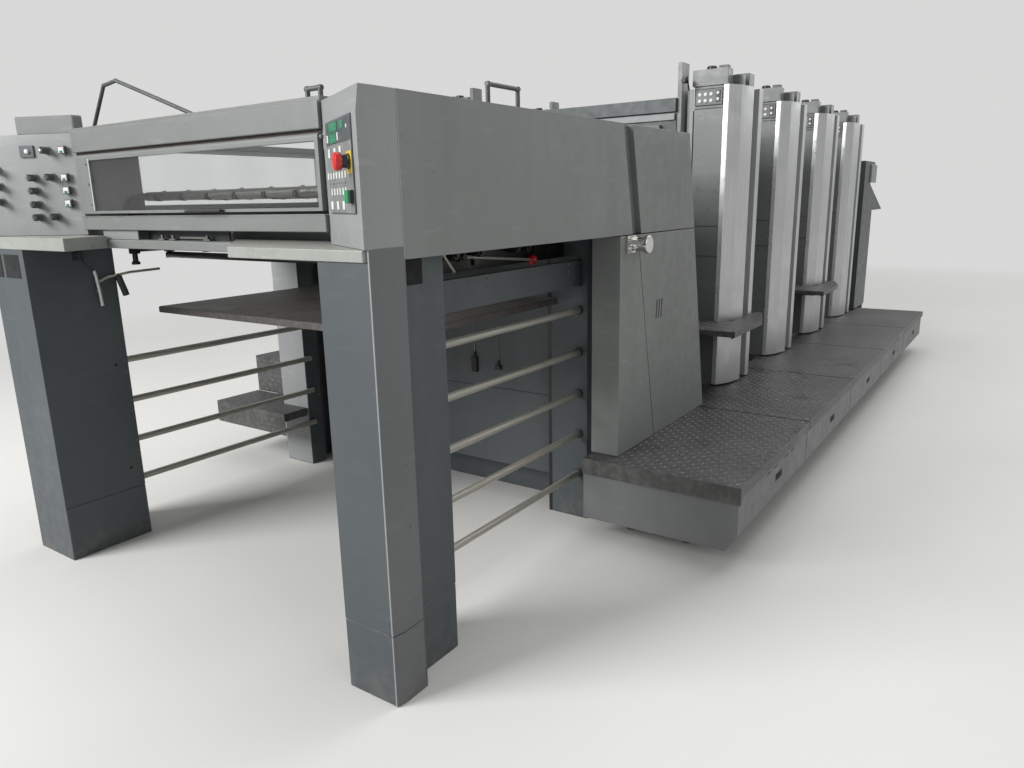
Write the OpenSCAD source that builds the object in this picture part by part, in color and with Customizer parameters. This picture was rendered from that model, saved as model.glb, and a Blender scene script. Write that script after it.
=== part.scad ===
// Four-unit sheet-fed offset printing press, on the floor.
// +X is the operator side, +Y runs from the delivery to the feeder, +Z is up.
// The origin is on the floor, under the middle of the machine bed.

/* [Delivery] */
// Half width over the outer covers
cover_half_w = 853; // [820:1:900]
// The same on the drive side
drive_half_w = 875; // [850:1:900]
// Height of the top of the delivery covers
cover_top = 1408; // [1380:1:1440]
// Height of the lower edge of the upper side covers
cover_low = 1057; // [1030:1:1070]
// Thickness of the upper side covers
cover_t = 40; // [30:1:50]
// Y of the front face of the front columns
front_y = -3558; // [-3600:1:-3500]
// Y of the front face of the switch column
switch_front_y = -3588; // [-3600:1:-3550]
// Depth of a front column, front to back
column_depth = 283; // [250:1:300]
// Width of the operator side front column
column_w = 165; // [150:1:190]
// Width of the switch column on the drive side
switch_column_w = 248; // [230:1:255]
// Width of the bevel on the outer front corner
bevel = 34; // [20:1:45]
// Height of the kick plates of the columns
kick_h = 188; // [150:1:220]
// Y of the seam between the consoles and the side covers
console_back_y = -3458; // [-3475:1:-3440]
// Y of the rear edge of the front side cover, at the top
seam_y = -2404; // [-2440:1:-2380]
// Width of the recessed band in the slanted seam
seam_band = 65; // [40:1:80]
// Slant of the cover seams, as run over rise
seam_lean = 0.225; // [0.15:0.005:0.26]
// Length of the rear side cover along the top
rear_cover_l = 488; // [460:1:500]
// Y of the face of the closed body behind the pile space
body_y = -2326; // [-2340:1:-2310]

/* [Consoles and front] */
// Half width of the opening between the operator console and the middle plane
console_in_x = 588; // [570:1:600]
// The same on the drive side
switch_in_x = 535; // [500:1:550]
// Y of the front face of the header and sill
beam_y = -3434; // [-3440:1:-3420]
// Depth of the header and the sill
beam_depth = 60; // [40:1:80]
// Height of the window opening's lower edge
sill_top = 1154; // [1145:1:1165]
// Height of the sill beam
sill_h = 42; // [35:1:48]
// Height of the header's lower edge
header_low = 1347; // [1335:1:1355]
// Height of the front lip of the shelves
shelf_t = 26; // [20:1:27]
// Thickness of the shelf on the drive side
switch_shelf_t = 38; // [30:1:42]
// Width of the operator shelf's front edge
shelf_w = 472; // [440:1:500]
// Width of the drive side shelf's front edge
switch_shelf_w = 523; // [480:1:540]
// Thickness of the front guard's frame
guard_t = 18; // [14:1:22]
// Width of the front guard's member beside the switch console
guard_side_w = 78; // [50:1:90]
// Width of the front guard's member beside the control console
guard_edge_w = 12; // [10:1:30]

/* [Pile space] */
// Distance of the rails from the outer face of the covers
rail_inset = 193; // [180:1:198]
// Diameter of the rails
rail_d = 23; // [16:1:24]
// Height of the lowest rail
rail_z = 180; // [160:1:200]
// Height of the lowest rail on the drive side
drive_rail_z = 204; // [190:1:210]
// Distance between the rails
rail_pitch = 153; // [140:1:155]
// Height of the side beams above the rails
side_beam_h = 90; // [80:1:100]
// Half width of the pile board
board_half_w = 585; // [550:1:600]
// Length of the pile board
board_l = 819; // [780:1:825]
// Thickness of the pile board
board_t = 20; // [18:1:34]
// Height of the top of the pile board at rest
board_z = 832; // [800:1:850]

/* [Printing units] */
// Distance from unit to unit
unit_pitch = 800; // [780:1:860]
// Seam between neighbouring lower housings
unit_seam = 4; // [3:1:8]
// Half width of the lower housings
unit_half_w = 636; // [620:1:640]
// Half width of the upper housings
ink_half_w = 572; // [560:1:574]
// Height of the lower housings
unit_low_top = 975; // [950:1:1000]
// Height of the top of the units
unit_top = 1605; // [1590:1:1640]
// Length of the upper housings
ink_l = 500; // [470:1:520]
// Length of a tower along the machine
tower_l = 310; // [305:1:330]
// Width of the flat face with the button plate
tower_x = 776; // [770:1:785]
// Height of the silver tower covers
silver_top = 1648; // [1630:1:1660]
// Length of a wide silver cover
silver_l = 172; // [160:1:185]
// Length of a narrow silver post
post_l = 48; // [40:1:60]

/* [Platforms] */
// Height of the operator side footboard
deck_z = 295; // [280:1:310]
// Outer edge of the operator side footboard
deck_x = 1315; // [1280:1:1340]
// Y of the front end of the footboard
deck_y = -2489; // [-2500:1:-2480]
// Length of the footboard
deck_l = 4237; // [4200:1:4260]
// Number of footboard plates
deck_n = 5; // [4:1:6]
// Height of the rim of the tread plates
tread_h = 36; // [30:1:45]
// Thickness of the sheet in plates and skirts
sheet_t = 5; // [4:1:8]
// Height of the tower steps
step_z = 610; // [590:1:630]
// Width of the tower steps beside the silver covers
step_w = 104; // [90:1:120]
// Length of a tower step in front of its tower
step_l = 262; // [230:1:275]
// Height of the drive side platform
drive_deck_z = 450; // [430:1:470]
// Outer edge of the drive side platform
drive_deck_x = 1172; // [1150:1:1200]
// Height of the lower tread on the drive side
drive_step_z = 272; // [255:1:290]
// Outer edge of the lower tread on the drive side
drive_step_x = 1180; // [1150:1:1200]
// Length of the lower tread on the drive side
drive_step_l = 238; // [200:1:260]

/* [Feeder] */
// Length of the feeder's side housings
feeder_l = 394; // [370:1:410]
// Height of the feeder's side housings
feeder_top = 1405; // [1390:1:1430]
// Length of the feeder's pile stand behind the side housings
feeder_stand_l = 1010; // [950:1:1050]
// Half width of the pile stand
feeder_stand_half_w = 672; // [660:1:680]

/* [Hidden] */
$fn = 48;

seat = 0.3;                 // clearance between pieces that are bolted together
unit_n = 4;
units_half_l = unit_pitch * unit_n / 2;
tower_shift = -68;          // tower face from the middle of its unit
silver_x = tower_x + 72;    // outer face of the silver covers
step_in_x = silver_x + 5;
step_x = step_in_x + step_w;
head_h = 68;                // height of the hoods on the towers
ink_shift = -127;           // upper housing's face from the middle of its unit
bed_h = 180;
body_half_w = cover_half_w - 105;
body_low = 142;             // gap below the closed body, in the pile space
boss_z = cover_low - 34;
vent_z = cover_low - 315;
body_end_y = -units_half_l + unit_seam / 2 - seat;
column_top = cover_low - seat;
shelf_top = cover_low + shelf_t;
shelf_back_y = -3300;       // rear edge of the shelves, between the frames
frame_in_x = cover_half_w - 253; // inner face of the chain track frames
chain_t = 34;               // thickness of the chain loops
chain_low = 1095;           // lowest and highest edge of the chain loops
chain_high = 1225;
chain_run = 24;             // height of one run of the chain
bar_pitch = 260;
bar_d = 30;
roller_pitch = 240;
roller_d = 44;
fold_drop = 55;             // fall of the fold in the console faces
fold_lean = 9;
frame_top = 1170;
cover_in_x = [cover_half_w - cover_t, drive_half_w - cover_t];
beam_back_y = beam_y + beam_depth;
rail_n = 5;
rail_x = cover_half_w - rail_inset;
switch_console_y = switch_front_y + 8; // the switch console stands back from the column's face
drive_post_in_x = drive_half_w - 190;  // rear post of the drive side fence
drive_post_x = drive_half_w - 20;
drive_post_y = -2475;
drive_post_l = 80;
drive_rail_x = drive_post_in_x - rail_d / 2 - seat;
drive_rail_end_y = drive_post_y + 25;
drive_rail_pitch = 148;
rail_end_y = body_y - 25;
rear_column_x0 = rail_x - 116;
rear_column_x1 = rail_x + 55;
rear_column_l = 150;
cabinet_x = body_half_w + seat;
header_top = cover_top + 12;
guard_low_z = sill_top + 8;
guard_gap = 8;              // play between the guard and the pieces beside it
guard_pin_d = 10;
guard_axis_z = header_low - guard_gap - guard_t / 2;
board_y = body_y - 45 - board_l;
guide_x = rear_column_x0 - 16; // inner face of the lift guides in the corners of the pile space
guide_y = body_y - 24;
run_gap = 0.4;              // running gap between the pile board's lugs and the guides
lever_x = frame_in_x + 15;
lever_y = -2800;
lever_l = 220;
tray_slope = 1.25;          // run over rise of the slanted shelf end, in plan
hood_h = 55;
front_lip = 58;
step_rim = 26;
skirt_low = 127;
front_plate_low = 70;
lever_tilt = 5.5;           // fall of the lever towards its grip
deck_in_x = body_half_w + 4;
deck_pitch = deck_l / deck_n;
deck_gap = 4;
skirt_x = deck_x - 9;
drive_deck_y = -2372;
drive_cabinet_x = drive_half_w + 100;
drive_lip = 100;            // depth of the lower tread's lips
cabinet_end_y = lean_y(seam_y + seam_band + rear_cover_l, cover_low);
feeder_y = units_half_l - unit_seam / 2 + seat;
stand_y = feeder_y + feeder_l;
stand_end_y = stand_y + feeder_stand_l;
stand_post = 70;
stand_top = 1040;
stand_beam_h = 60;
stand_base_h = 500;
stand_rail_h = 40;
feed_low_z = 990;
house_low = deck_z + 6;
feeder_arm_z = feeder_top - 158;
// Each switch on the drive side console: distance from its inner edge, depth below the top,
// diameter and length
knob = [22, 36];
lamp = [24, 16];
switch_spots = [[40, 51, 26, 22], [96, 51, 26, 30], [166, 52, 34, 10],
                [44, 134, lamp[0], lamp[1]], [92, 132, knob[0], knob[1]], [153, 133, knob[0], knob[1]],
                [44, 173, lamp[0], lamp[1]], [154, 173, knob[0], knob[1]],
                [44, 213, lamp[0], lamp[1]], [154, 215, knob[0], knob[1]],
                [96, 254, knob[0], knob[1]], [154, 255, knob[0], knob[1]],
                [280, 107, knob[0], knob[1]], [280, 157, knob[0], knob[1]], [282, 205, knob[0], knob[1]]];
// Bent bar on the roof, as X and height over the roof
bent_grip = [[-660, 8], [-547, 155], [-472, 163], [-258, 92], [-10, 8]];
bent_grip_y = -3300;
roof_top = cover_top - 4;
roof_t = 24;
roof_rim = 100;             // width of the roof's strips in front of and behind its opening
header_grip_x = console_in_x - 40;
header_grip_l = 44;
roof_grip_x = cover_half_w - 63;
roof_grip_y = -2980;
roof_grip_l = 135;
ink_beam_h = 58;            // cross beam at the head of an upper housing
ink_beam_l = 70;
ink_guard_rise = 90;        // guard above the top of the lower housing
ink_guard_h = 430;
feeder_head_run = 560;      // feeder head behind the side housings
panel_grey = [0.40, 0.42, 0.43];
dark_grey = [0.24, 0.26, 0.29];
light_grey = [0.55, 0.57, 0.58];
silver = [0.72, 0.72, 0.72];
steel = [0.62, 0.62, 0.60];

function unit_y(k) = (k - (unit_n - 1) / 2) * unit_pitch;
function tower_y(k) = unit_y(k) + tower_shift;
// Y of a slanted seam that passes y at the top of the covers
function lean_y(y, z) = y + seam_lean * (cover_top - z);

// Block between two corners
module block(low, high) {
    translate(low) cube(high - low);
}

// Outline in plan, from z0 up to z1
module prism(z0, z1, points) {
    translate([0, 0, z0]) linear_extrude(z1 - z0) polygon(points);
}

// Outline in the side view (Y, Z), from x0 to x1
module side_prism(x0, x1, points) {
    translate([x0, 0, 0]) rotate([90, 0, 90]) linear_extrude(x1 - x0) polygon(points);
}

// Round bar along Y
module rod_y(x, y0, y1, z, d) {
    translate([x, y0, z]) rotate([-90, 0, 0]) cylinder(h = y1 - y0, d = d);
}

// Round bar along X
module rod_x(x0, x1, y, z, d) {
    translate([x0, y, z]) rotate([0, 90, 0]) cylinder(h = x1 - x0, d = d);
}

module both_sides() {
    children();
    mirror([1, 0, 0]) children();
}

// Front column of the operator side: a bevelled shell and a narrower post behind it
function column_outline() =
    let (x1 = cover_half_w, x0 = x1 - column_w, shell_y = front_y + 105)
    [[x0, front_y], [x1 - bevel * 0.6, front_y], [x1, front_y + bevel], [x1, shell_y],
     [x1 - 45, shell_y], [x1 - 45, front_y + column_depth], [x0 - 50, front_y + column_depth],
     [x0 - 50, shell_y], [x0, shell_y]];

module front_column_operator() color(dark_grey) {
    prism(0, kick_h, column_outline());
    prism(kick_h + seat, column_top, column_outline());
}

// Front column of the drive side, wide enough for the switch gear
function switch_column_outline() =
    let (x1 = -drive_half_w, x0 = x1 + switch_column_w, y = switch_front_y)
    [[x1, y + bevel], [x1 + bevel * 0.6, y], [x0, y], [x0, y + column_depth],
     [x1, y + column_depth]];

module front_column_drive() color(dark_grey) {
    prism(0, kick_h, switch_column_outline());
    prism(kick_h + seat, column_top, switch_column_outline());
}

// Rear columns, and on the drive side a post in front of them that the rails end on
module rear_columns() color(dark_grey) {
    both_sides()
        prism(0, column_top, [
            [rear_column_x0, rail_end_y], [rear_column_x1 - 22, rail_end_y],
            [rear_column_x1, rail_end_y + 22], [rear_column_x1, rail_end_y + rear_column_l],
            [rear_column_x0, rail_end_y + rear_column_l]]);
    block([-drive_post_x, drive_post_y, 0], [-drive_post_in_x, drive_post_y + drive_post_l, column_top]);
}

// Round rails that fence the pile space, five on the operator side and four on the drive side
module guard_rails() color(steel) {
    y0 = front_y + column_depth + seat;
    for (i = [0 : rail_n - 1])
        rod_y(rail_x, y0, rail_end_y - seat, rail_z + i * rail_pitch, rail_d);
    for (i = [0 : rail_n - 2])
        rod_y(-drive_rail_x, switch_front_y + column_depth + seat, drive_rail_end_y,
              drive_rail_z + i * drive_rail_pitch, rail_d);
}

// Folded beam above the rails of the operator side
module side_beams() color(dark_grey) {
    y0 = front_y + column_depth;
    z0 = rail_z + rail_n * rail_pitch - 65;
    x0 = rail_x - 10;
    difference() {
        block([x0, y0 + seat, z0], [x0 + 24, rail_end_y - seat, z0 + side_beam_h]);
        block([x0 - 1, y0 - 1, z0 + 6], [x0 + 18, rail_end_y + 1, z0 + side_beam_h - 6]);
    }
}

// Housings of the chain tracks, carried by the four columns
module delivery_frames() color(dark_grey)
    for (side = [0, 1])
        mirror([side, 0, 0])
            block([frame_in_x, beam_back_y + seat, cover_low],
                  [cover_in_x[side] - seat, body_y + 195 - seat, frame_top]);

// Closed body behind the pile space
module delivery_body() color(dark_grey) {
    y1 = rail_end_y + rear_column_l + seat;
    block([-rear_column_x0 + seat, body_y, body_low], [rear_column_x0 - seat, y1, cover_low - seat]);
    block([-body_half_w, y1, 0], [body_half_w, lean_y(seam_y, cover_top) + 560, cover_low - seat]);
    block([-unit_half_w, y1, 0], [unit_half_w, body_end_y, cover_low - seat]);
    block([-cover_in_x[1] + seat, body_y + 195, cover_low - seat],
          [cover_in_x[0] - seat, seam_y + seam_band + rear_cover_l, roof_top - roof_t]);
}

module side_cover_operator() color(panel_grey)
    side_prism(cover_half_w - cover_t, cover_half_w, [
        [console_back_y + seat, cover_low], [console_back_y + seat, cover_top],
        [seam_y, cover_top], [lean_y(seam_y, cover_low), cover_low]]);

function rear_cover_outline() =
    let (y0 = seam_y + seam_band, y1 = y0 + rear_cover_l)
    [[y0, cover_top], [y1, cover_top], [lean_y(y1, cover_low), cover_low],
     [lean_y(y0, cover_low), cover_low]];

module rear_cover_operator() color(panel_grey)
    side_prism(cover_half_w - cover_t, cover_half_w, rear_cover_outline());

// Opening of the window in the drive side cover, as low and high corner in Y and Z
function drive_window_low() = [beam_back_y + 330, frame_top + 15];
function drive_window_high() = [body_y + 165, cover_top - 23];

// One cover on the drive side, with a long window
module side_cover_drive() color(panel_grey) mirror([1, 0, 0]) {
    low = drive_window_low();
    high = drive_window_high();
    y1 = seam_y + seam_band + rear_cover_l;
    difference() {
        side_prism(drive_half_w - cover_t, drive_half_w, [
            [console_back_y + seat, cover_low], [console_back_y + seat, cover_top],
            [y1, cover_top], [lean_y(y1, cover_low), cover_low]]);
        block([drive_half_w - cover_t - 1, low[0], low[1]], [drive_half_w + 1, high[0], high[1]]);
    }
}

module drive_window() color([0.7, 0.75, 0.78]) {
    low = drive_window_low();
    high = drive_window_high();
    block([-drive_half_w + 12, low[0] + seat, low[1] + seat],
          [-drive_half_w + 18, high[0] - seat, high[1] - seat]);
}

// Y of the seam between the cabinet and its vented door, at the top of the cabinet
cabinet_seam_y = lean_y(seam_y, cover_low) + 39;
cabinet_front_y = -2417;

module cabinet_operator() color(panel_grey)
    side_prism(cabinet_x, cover_half_w, [
        [cabinet_front_y, deck_z + seat], [cabinet_front_y, cover_low - 3],
        [cabinet_seam_y, cover_low - 3],
        [cabinet_seam_y + seam_lean * (cover_low - 3 - deck_z), deck_z + seat]]);

vent_n = 3;
vent_h = 70;

module cabinet_door() color(panel_grey) {
    y0 = cabinet_seam_y + 4;
    y1 = lean_y(seam_y + seam_band + rear_cover_l, cover_low);
    fall = seam_lean * (cover_low - 3 - deck_z);
    difference() {
        side_prism(cabinet_x, cover_half_w, [
            [y0, cover_low - 3], [y1, cover_low - 3], [y1 + fall, deck_z + seat], [y0 + fall, deck_z + seat]]);
        for (i = [0 : vent_n - 1])
            translate([cover_half_w - 6, y0 + 160 + i * 22, vent_z])
                rotate([-6, 0, 0]) cube([7, 9, vent_h]);
    }
}

// Drive side cabinet, deeper than the one on the operator side and down to the floor
module cabinet_drive() color(light_grey)
    side_prism(-drive_cabinet_x, -body_half_w - seat, [
        [drive_deck_y + seat, 0], [drive_deck_y + seat, cover_low - 3],
        [cabinet_end_y, cover_low - 3], [cabinet_end_y, 0]]);

// Roof frame between the side covers, open above the chains
module roof_cover() color(panel_grey) {
    y0 = beam_back_y + seat;
    y1 = body_y + 195 - seat;
    difference() {
        block([-cover_in_x[1] + seat, y0, roof_top - roof_t], [cover_in_x[0] - seat, y1, roof_top]);
        block([-frame_in_x, y0 + roof_rim, roof_top - roof_t - 1],
              [frame_in_x, y1 - roof_rim, roof_top + 1]);
    }
}

// Grips on the header and on the roof
module roof_handles() color([0.1, 0.1, 0.1]) {
    grip(header_grip_x, beam_y + beam_depth / 2, header_top + seat, header_grip_l, 26, 90);
    grip(roof_grip_x, roof_grip_y, roof_top + seat, roof_grip_l, 66, 0);
    bent_bar(bent_grip_y, roof_top, 12, bent_grip);
}

// Round bar on two feet, through points given as X and height over z, in the plane of y
module bent_bar(y, z, d, points) {
    for (i = [0 : len(points) - 2]) {
        run = points[i + 1] - points[i];
        translate([points[i][0], y, z + points[i][1]]) {
            rotate([0, atan2(run[0], run[1]), 0]) cylinder(h = norm(run), d = d);
            if (i > 0) sphere(d = d * 1.1);
        }
    }
    for (end = [points[0], points[len(points) - 1]])
        translate([end[0], y, z + seat]) cylinder(h = 10, d = d * 2.6);
}

// Round-bar grip: a cross bar of the given length on two legs
module grip(x, y, z, l, h, turn) {
    d = 12;
    translate([x, y, z]) rotate([0, 0, turn]) {
        for (v = [-l / 2, l / 2])
            translate([0, v, 0]) cylinder(h = h, d = d);
        translate([0, -l / 2 - d / 2, h - d / 2]) rotate([-90, 0, 0]) cylinder(h = l + d, d = d);
    }
}

module front_header() color(panel_grey)
    side_prism(-switch_in_x, console_in_x, [
        [beam_y, header_low], [beam_back_y, header_low], [beam_back_y, header_top],
        [beam_y + 8, header_top], [beam_y + 8, header_top - 10], [beam_y, header_top - 10]]);

module front_sill() color(panel_grey)
    block([-switch_in_x, beam_y, sill_top - sill_h], [console_in_x, beam_back_y, sill_top]);

// Cross beam between the shelves, at their height
module sheet_tray() color(panel_grey)
    prism(cover_low, shelf_top, [
        [-frame_in_x + seat, beam_y + seat], [tray_end_x() - seat * 2, beam_y + seat],
        [tray_end_x() - tray_slope * 54 - seat * 2, beam_y + 54], [-frame_in_x + seat, beam_y + 54]]);

// Clear front guard: a frame that hangs from a round bar, on which it swings outwards
module front_guard() color(dark_grey) {
    x0 = -switch_in_x + guard_gap;
    x1 = console_in_x - guard_gap;
    difference() {
        block([x0, beam_y, guard_low_z], [x1, beam_y + guard_t, guard_axis_z]);
        block([x0 + guard_side_w, beam_y - 1, guard_low_z + 8],
              [x1 - guard_edge_w, beam_y + guard_t + 1, guard_axis_z - guard_t / 2]);
    }
    rod_x(x0, x1, beam_y + guard_t / 2, guard_axis_z, guard_t);
    rod_x(-switch_in_x, console_in_x, beam_y + guard_t / 2, guard_axis_z, guard_pin_d);
}

module guard_pane() color([0.7, 0.75, 0.78])
    block([-switch_in_x + guard_gap + guard_side_w + seat, beam_y + 6, guard_low_z + 8 + seat],
          [console_in_x - guard_gap - guard_edge_w - seat, beam_y + 11,
           guard_axis_z - guard_t / 2 - seat]);

// X at which the slanted end of the operator shelf meets the line of the header
function tray_end_x() = cover_half_w - shelf_w - tray_slope * (beam_y - front_y + 6);

// Operator side shelf: its slanted inner end runs on behind the cross beam
module shelf_operator() color(light_grey) {
    x0 = cover_half_w - shelf_w;
    prism(cover_low, shelf_top, [
        [x0, front_y - 6], [cover_half_w - bevel * 0.6, front_y - 6],
        [cover_half_w, front_y + bevel - 6], [cover_half_w, console_back_y],
        [cover_in_x[0] - 2, console_back_y], [cover_in_x[0] - 2, beam_back_y - 1],
        [frame_in_x - seat, beam_back_y - 1], [frame_in_x - seat, shelf_back_y],
        [x0 - tray_slope * (shelf_back_y - front_y + 6), shelf_back_y]]);
}

// Drive side shelf, thicker, and ending at the cross beam
module shelf_drive() color(light_grey) mirror([1, 0, 0]) {
    x0 = drive_half_w - switch_shelf_w;
    y0 = switch_front_y - 3;
    prism(cover_low, cover_low + switch_shelf_t, [
        [x0, y0], [drive_half_w - bevel * 0.6, y0], [drive_half_w, y0 + bevel],
        [drive_half_w, console_back_y], [cover_in_x[1] - 2, console_back_y],
        [cover_in_x[1] - 2, beam_back_y - 1], [frame_in_x - seat, beam_back_y - 1],
        [frame_in_x - seat, beam_y], [x0 + 52, beam_y]]);
}

// Console box with a diagonal face from its inner tip to the outer corner.
// The upper part of that face leans back above a fold that starts at the tip.
module console(in_x, half_w, y0, z0) {
    tip = [in_x, beam_y + 11];
    corner = [half_w - 4, y0 - 15];
    run = corner - tip;
    difference() {
        prism(z0, cover_top, [
            tip, corner, [half_w, y0 + bevel], [half_w, console_back_y],
            [half_w - cover_t - 2, console_back_y], [half_w - cover_t - 2, beam_back_y - 1],
            [in_x, beam_back_y - 1]]);
        translate([tip[0], tip[1], cover_top])
            rotate([0, 0, atan2(run[1], run[0])])
                rotate([0, atan(fold_drop / norm(run)), 0])
                    rotate([-fold_lean, 0, 0])
                        translate([-60, -100, 0]) cube([norm(run) + 120, 100, fold_drop * 3]);
    }
}

module control_console() color(light_grey)
    console(console_in_x + seat, cover_half_w, front_y, shelf_top + seat);

module switch_console() color(light_grey) mirror([1, 0, 0])
    console(switch_in_x + seat, drive_half_w, switch_console_y, cover_low + switch_shelf_t + seat);

// Low hood on the switch console, along its diagonal face
module switch_hood() color(panel_grey) mirror([1, 0, 0])
    prism(cover_top + seat, cover_top + hood_h, [
        [switch_in_x + 6, beam_y + 18], [switch_in_x + 190, beam_y - 70],
        [switch_in_x + 215, beam_y - 50], [switch_in_x + 215, beam_back_y - 12],
        [switch_in_x + 6, beam_back_y - 12]]);

// Places its children on a console's diagonal face: x along the face, y into it
module on_console(in_x, half_w, y0) {
    run = [half_w - 4 - in_x, y0 - 15 - beam_y - 11];
    translate([in_x, beam_y + 11, 0]) rotate([0, 0, atan2(run[1], run[0])]) children();
}

// Key field and stop button of the control console
module console_keys() color([0.2, 0.2, 0.2])
    on_console(console_in_x + seat, cover_half_w, front_y) {
        block([42, -4, cover_top - 258], [266, -seat, cover_top - 53]);
        translate([246, -3, cover_top - 146]) rotate([90, 0, 0]) cylinder(h = 34, d = 36);
    }

// Knobs and lamps of the switch console
module switch_buttons() color([0.2, 0.2, 0.2]) mirror([1, 0, 0])
    on_console(switch_in_x + seat, drive_half_w, switch_console_y)
        for (spot = switch_spots)
            translate([spot[0], -seat, cover_top - spot[1]])
                rotate([90, 0, 0]) cylinder(h = spot[3], d = spot[2]);

// Closed loops of the gripper chains, one beside each frame
module gripper_chains() color([0.2, 0.2, 0.2]) both_sides() {
    x0 = frame_in_x - chain_t;
    y0 = beam_back_y + 110;
    y1 = body_y + 190;
    end_r = (chain_high - chain_low) / 2;
    difference() {
        union() {
            block([x0, y0 + end_r, chain_low], [frame_in_x - seat, y1, chain_high]);
            rod_x(x0, frame_in_x - seat, y0 + end_r, chain_low + end_r, end_r * 2);
        }
        block([x0 - 1, y0 + end_r, chain_low + chain_run],
              [frame_in_x + 1, y1 - chain_run, chain_high - chain_run]);
    }
}

// Gripper bars on both runs of the chains
module gripper_bars() color(steel)
    for (i = [0 : 3])
        for (z = [chain_low + chain_run / 2, chain_high - chain_run / 2])
            rod_x(-frame_in_x + chain_t + seat, frame_in_x - chain_t - seat,
                  beam_back_y + 190 + i * bar_pitch, z, bar_d);

// Rollers under the chains, which draw the sheets on
module pull_rollers() color([0.35, 0.27, 0.2])
    for (i = [0 : 2])
        rod_x(-frame_in_x + chain_t + seat, frame_in_x - chain_t - seat,
              beam_back_y + 320 + i * roller_pitch, chain_low + 10, roller_d);

// Lever with a ball grip, on a bracket under the operator side frame
module release_lever() color([0.7, 0.1, 0.1]) {
    translate([lever_x, lever_y, cover_low - 49]) rotate([-lever_tilt - 90, 0, 0]) {
        cylinder(h = lever_l, d = 12);
        translate([0, 0, lever_l]) sphere(d = 34);
    }
    block([lever_x - 8, lever_y - 14, cover_low - 62], [lever_x + 8, lever_y + 14, cover_low - seat]);
}

// Pile board, with a lug at each rear corner that runs along a lift guide
module pile_board() color([0.3, 0.3, 0.3]) {
    y1 = board_y + board_l;
    block([-board_half_w, board_y, board_z - board_t], [board_half_w, y1, board_z]);
    both_sides()
        block([guide_x, y1 - 1, board_z - board_t],
              [rear_column_x0 - seat, guide_y - run_gap, board_z - 6]);
}

// Lift guides of the pile board, in the corners between the rear columns and the body
module lift_guides() color([0.35, 0.35, 0.35]) both_sides()
    block([guide_x, guide_y, 0], [rear_column_x0 - seat, body_y - seat, cover_low - 30]);

// Silver lock on the seam of the side covers: a plate with a round knob beside it
module cover_boss() color(silver) {
    y = cabinet_front_y + 100;
    block([cover_half_w + seat, y - 62, boss_z - 26], [cover_half_w + 9, y, boss_z + 30]);
    rod_x(cover_half_w + seat, cover_half_w + 40, y + 16, boss_z, 50);
    rod_x(cover_half_w + 40, cover_half_w + 52, y + 16, boss_z, 60);
}

// Housing of one printing unit: the lower cylinder frame and the inking tower above it
module unit_housing(k) {
    c = unit_y(k);
    half = (unit_pitch - unit_seam) / 2;
    y0 = c + ink_shift;
    side_prism(-unit_half_w, unit_half_w, [
        [c - half, bed_h + seat], [c + half, bed_h + seat], [c + half, unit_low_top - 60],
        [c + half - 30, unit_low_top], [c - half + 110, unit_low_top],
        [c - half, unit_low_top - 130]]);
    side_prism(-ink_half_w, ink_half_w, [
        [y0 + 14, unit_low_top - 1], [y0 + 14, unit_top - ink_beam_h],
        [y0, unit_top - ink_beam_h], [y0, unit_top], [y0 + ink_beam_l, unit_top],
        [y0 + ink_beam_l, unit_top - 40], [y0 + ink_l - 90, unit_top - 40],
        [y0 + ink_l, unit_top - 130], [y0 + ink_l, unit_low_top - 1]]);
}

module unit_1() color(dark_grey) unit_housing(0);
module unit_2() color(dark_grey) unit_housing(1);
module unit_3() color(dark_grey) unit_housing(2);
module unit_4() color(dark_grey) unit_housing(3);

// Towers on one side of the units: closed boxes that the silver covers sit on
module towers() {
    for (k = [0 : unit_n - 1])
        prism(house_low, silver_top, [
            [unit_half_w + seat, tower_y(k)], [tower_x - 6, tower_y(k)],
            [tower_x - 6, tower_y(k) + silver_l], [tower_x + 34, tower_y(k) + silver_l + seat],
            [tower_x + 34, tower_y(k) + tower_l], [unit_half_w + seat, tower_y(k) + tower_l]]);
}

module operator_towers() color(dark_grey) towers();
module drive_towers() color(dark_grey) mirror([1, 0, 0]) towers();

// Silver covers of one side: a bevelled wide cover and a narrow post for each tower
module silver_covers() {
    for (k = [0 : unit_n - 1]) {
        y = tower_y(k);
        prism(house_low + 3, silver_top, [
            [tower_x - 6 + seat, y], [tower_x + 17, y], [tower_x + 52, y + 62],
            [silver_x, y + silver_l - 8], [silver_x, y + silver_l - seat],
            [tower_x - 6 + seat, y + silver_l - seat]]);
        prism(house_low + 3, silver_top, [
            [tower_x + 34 + seat, y + tower_l - post_l], [silver_x - 3, y + tower_l - post_l],
            [silver_x + 2, y + tower_l - 12], [silver_x - 3, y + tower_l],
            [tower_x + 34 + seat, y + tower_l]]);
    }
}

module operator_columns() color(silver) silver_covers();
module drive_columns() color(silver) mirror([1, 0, 0]) silver_covers();

module button_plates() color(light_grey)
    for (k = [0 : unit_n - 1])
        block([unit_half_w + 4, tower_y(k) - 7 - seat, silver_top - 81],
              [tower_x - 9, tower_y(k) - seat, silver_top - 10]);

// Head of each tower: a flat hood, a bracket block behind it and a thin stay plate
module tower_heads() color(dark_grey) both_sides()
    for (k = [0 : unit_n - 1]) {
        y = tower_y(k);
        block([unit_half_w - 8, y - 8, silver_top + seat], [tower_x + 12, y + 56, silver_top + head_h]);
        block([tower_x - 20, y + 80, silver_top + seat],
              [tower_x + 50, y + 112, silver_top + head_h - 22]);
        block([tower_x - 20, y + 165, silver_top + seat],
              [tower_x + 50, y + 235, silver_top + head_h - 8]);
        rod_y(tower_x + 15, y + 111, y + 166, silver_top + 32, 26);
        block([ink_half_w + seat, y - 40, unit_low_top + 60],
              [unit_half_w - 44, y + 40, silver_top + head_h + 38]);
    }

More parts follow.
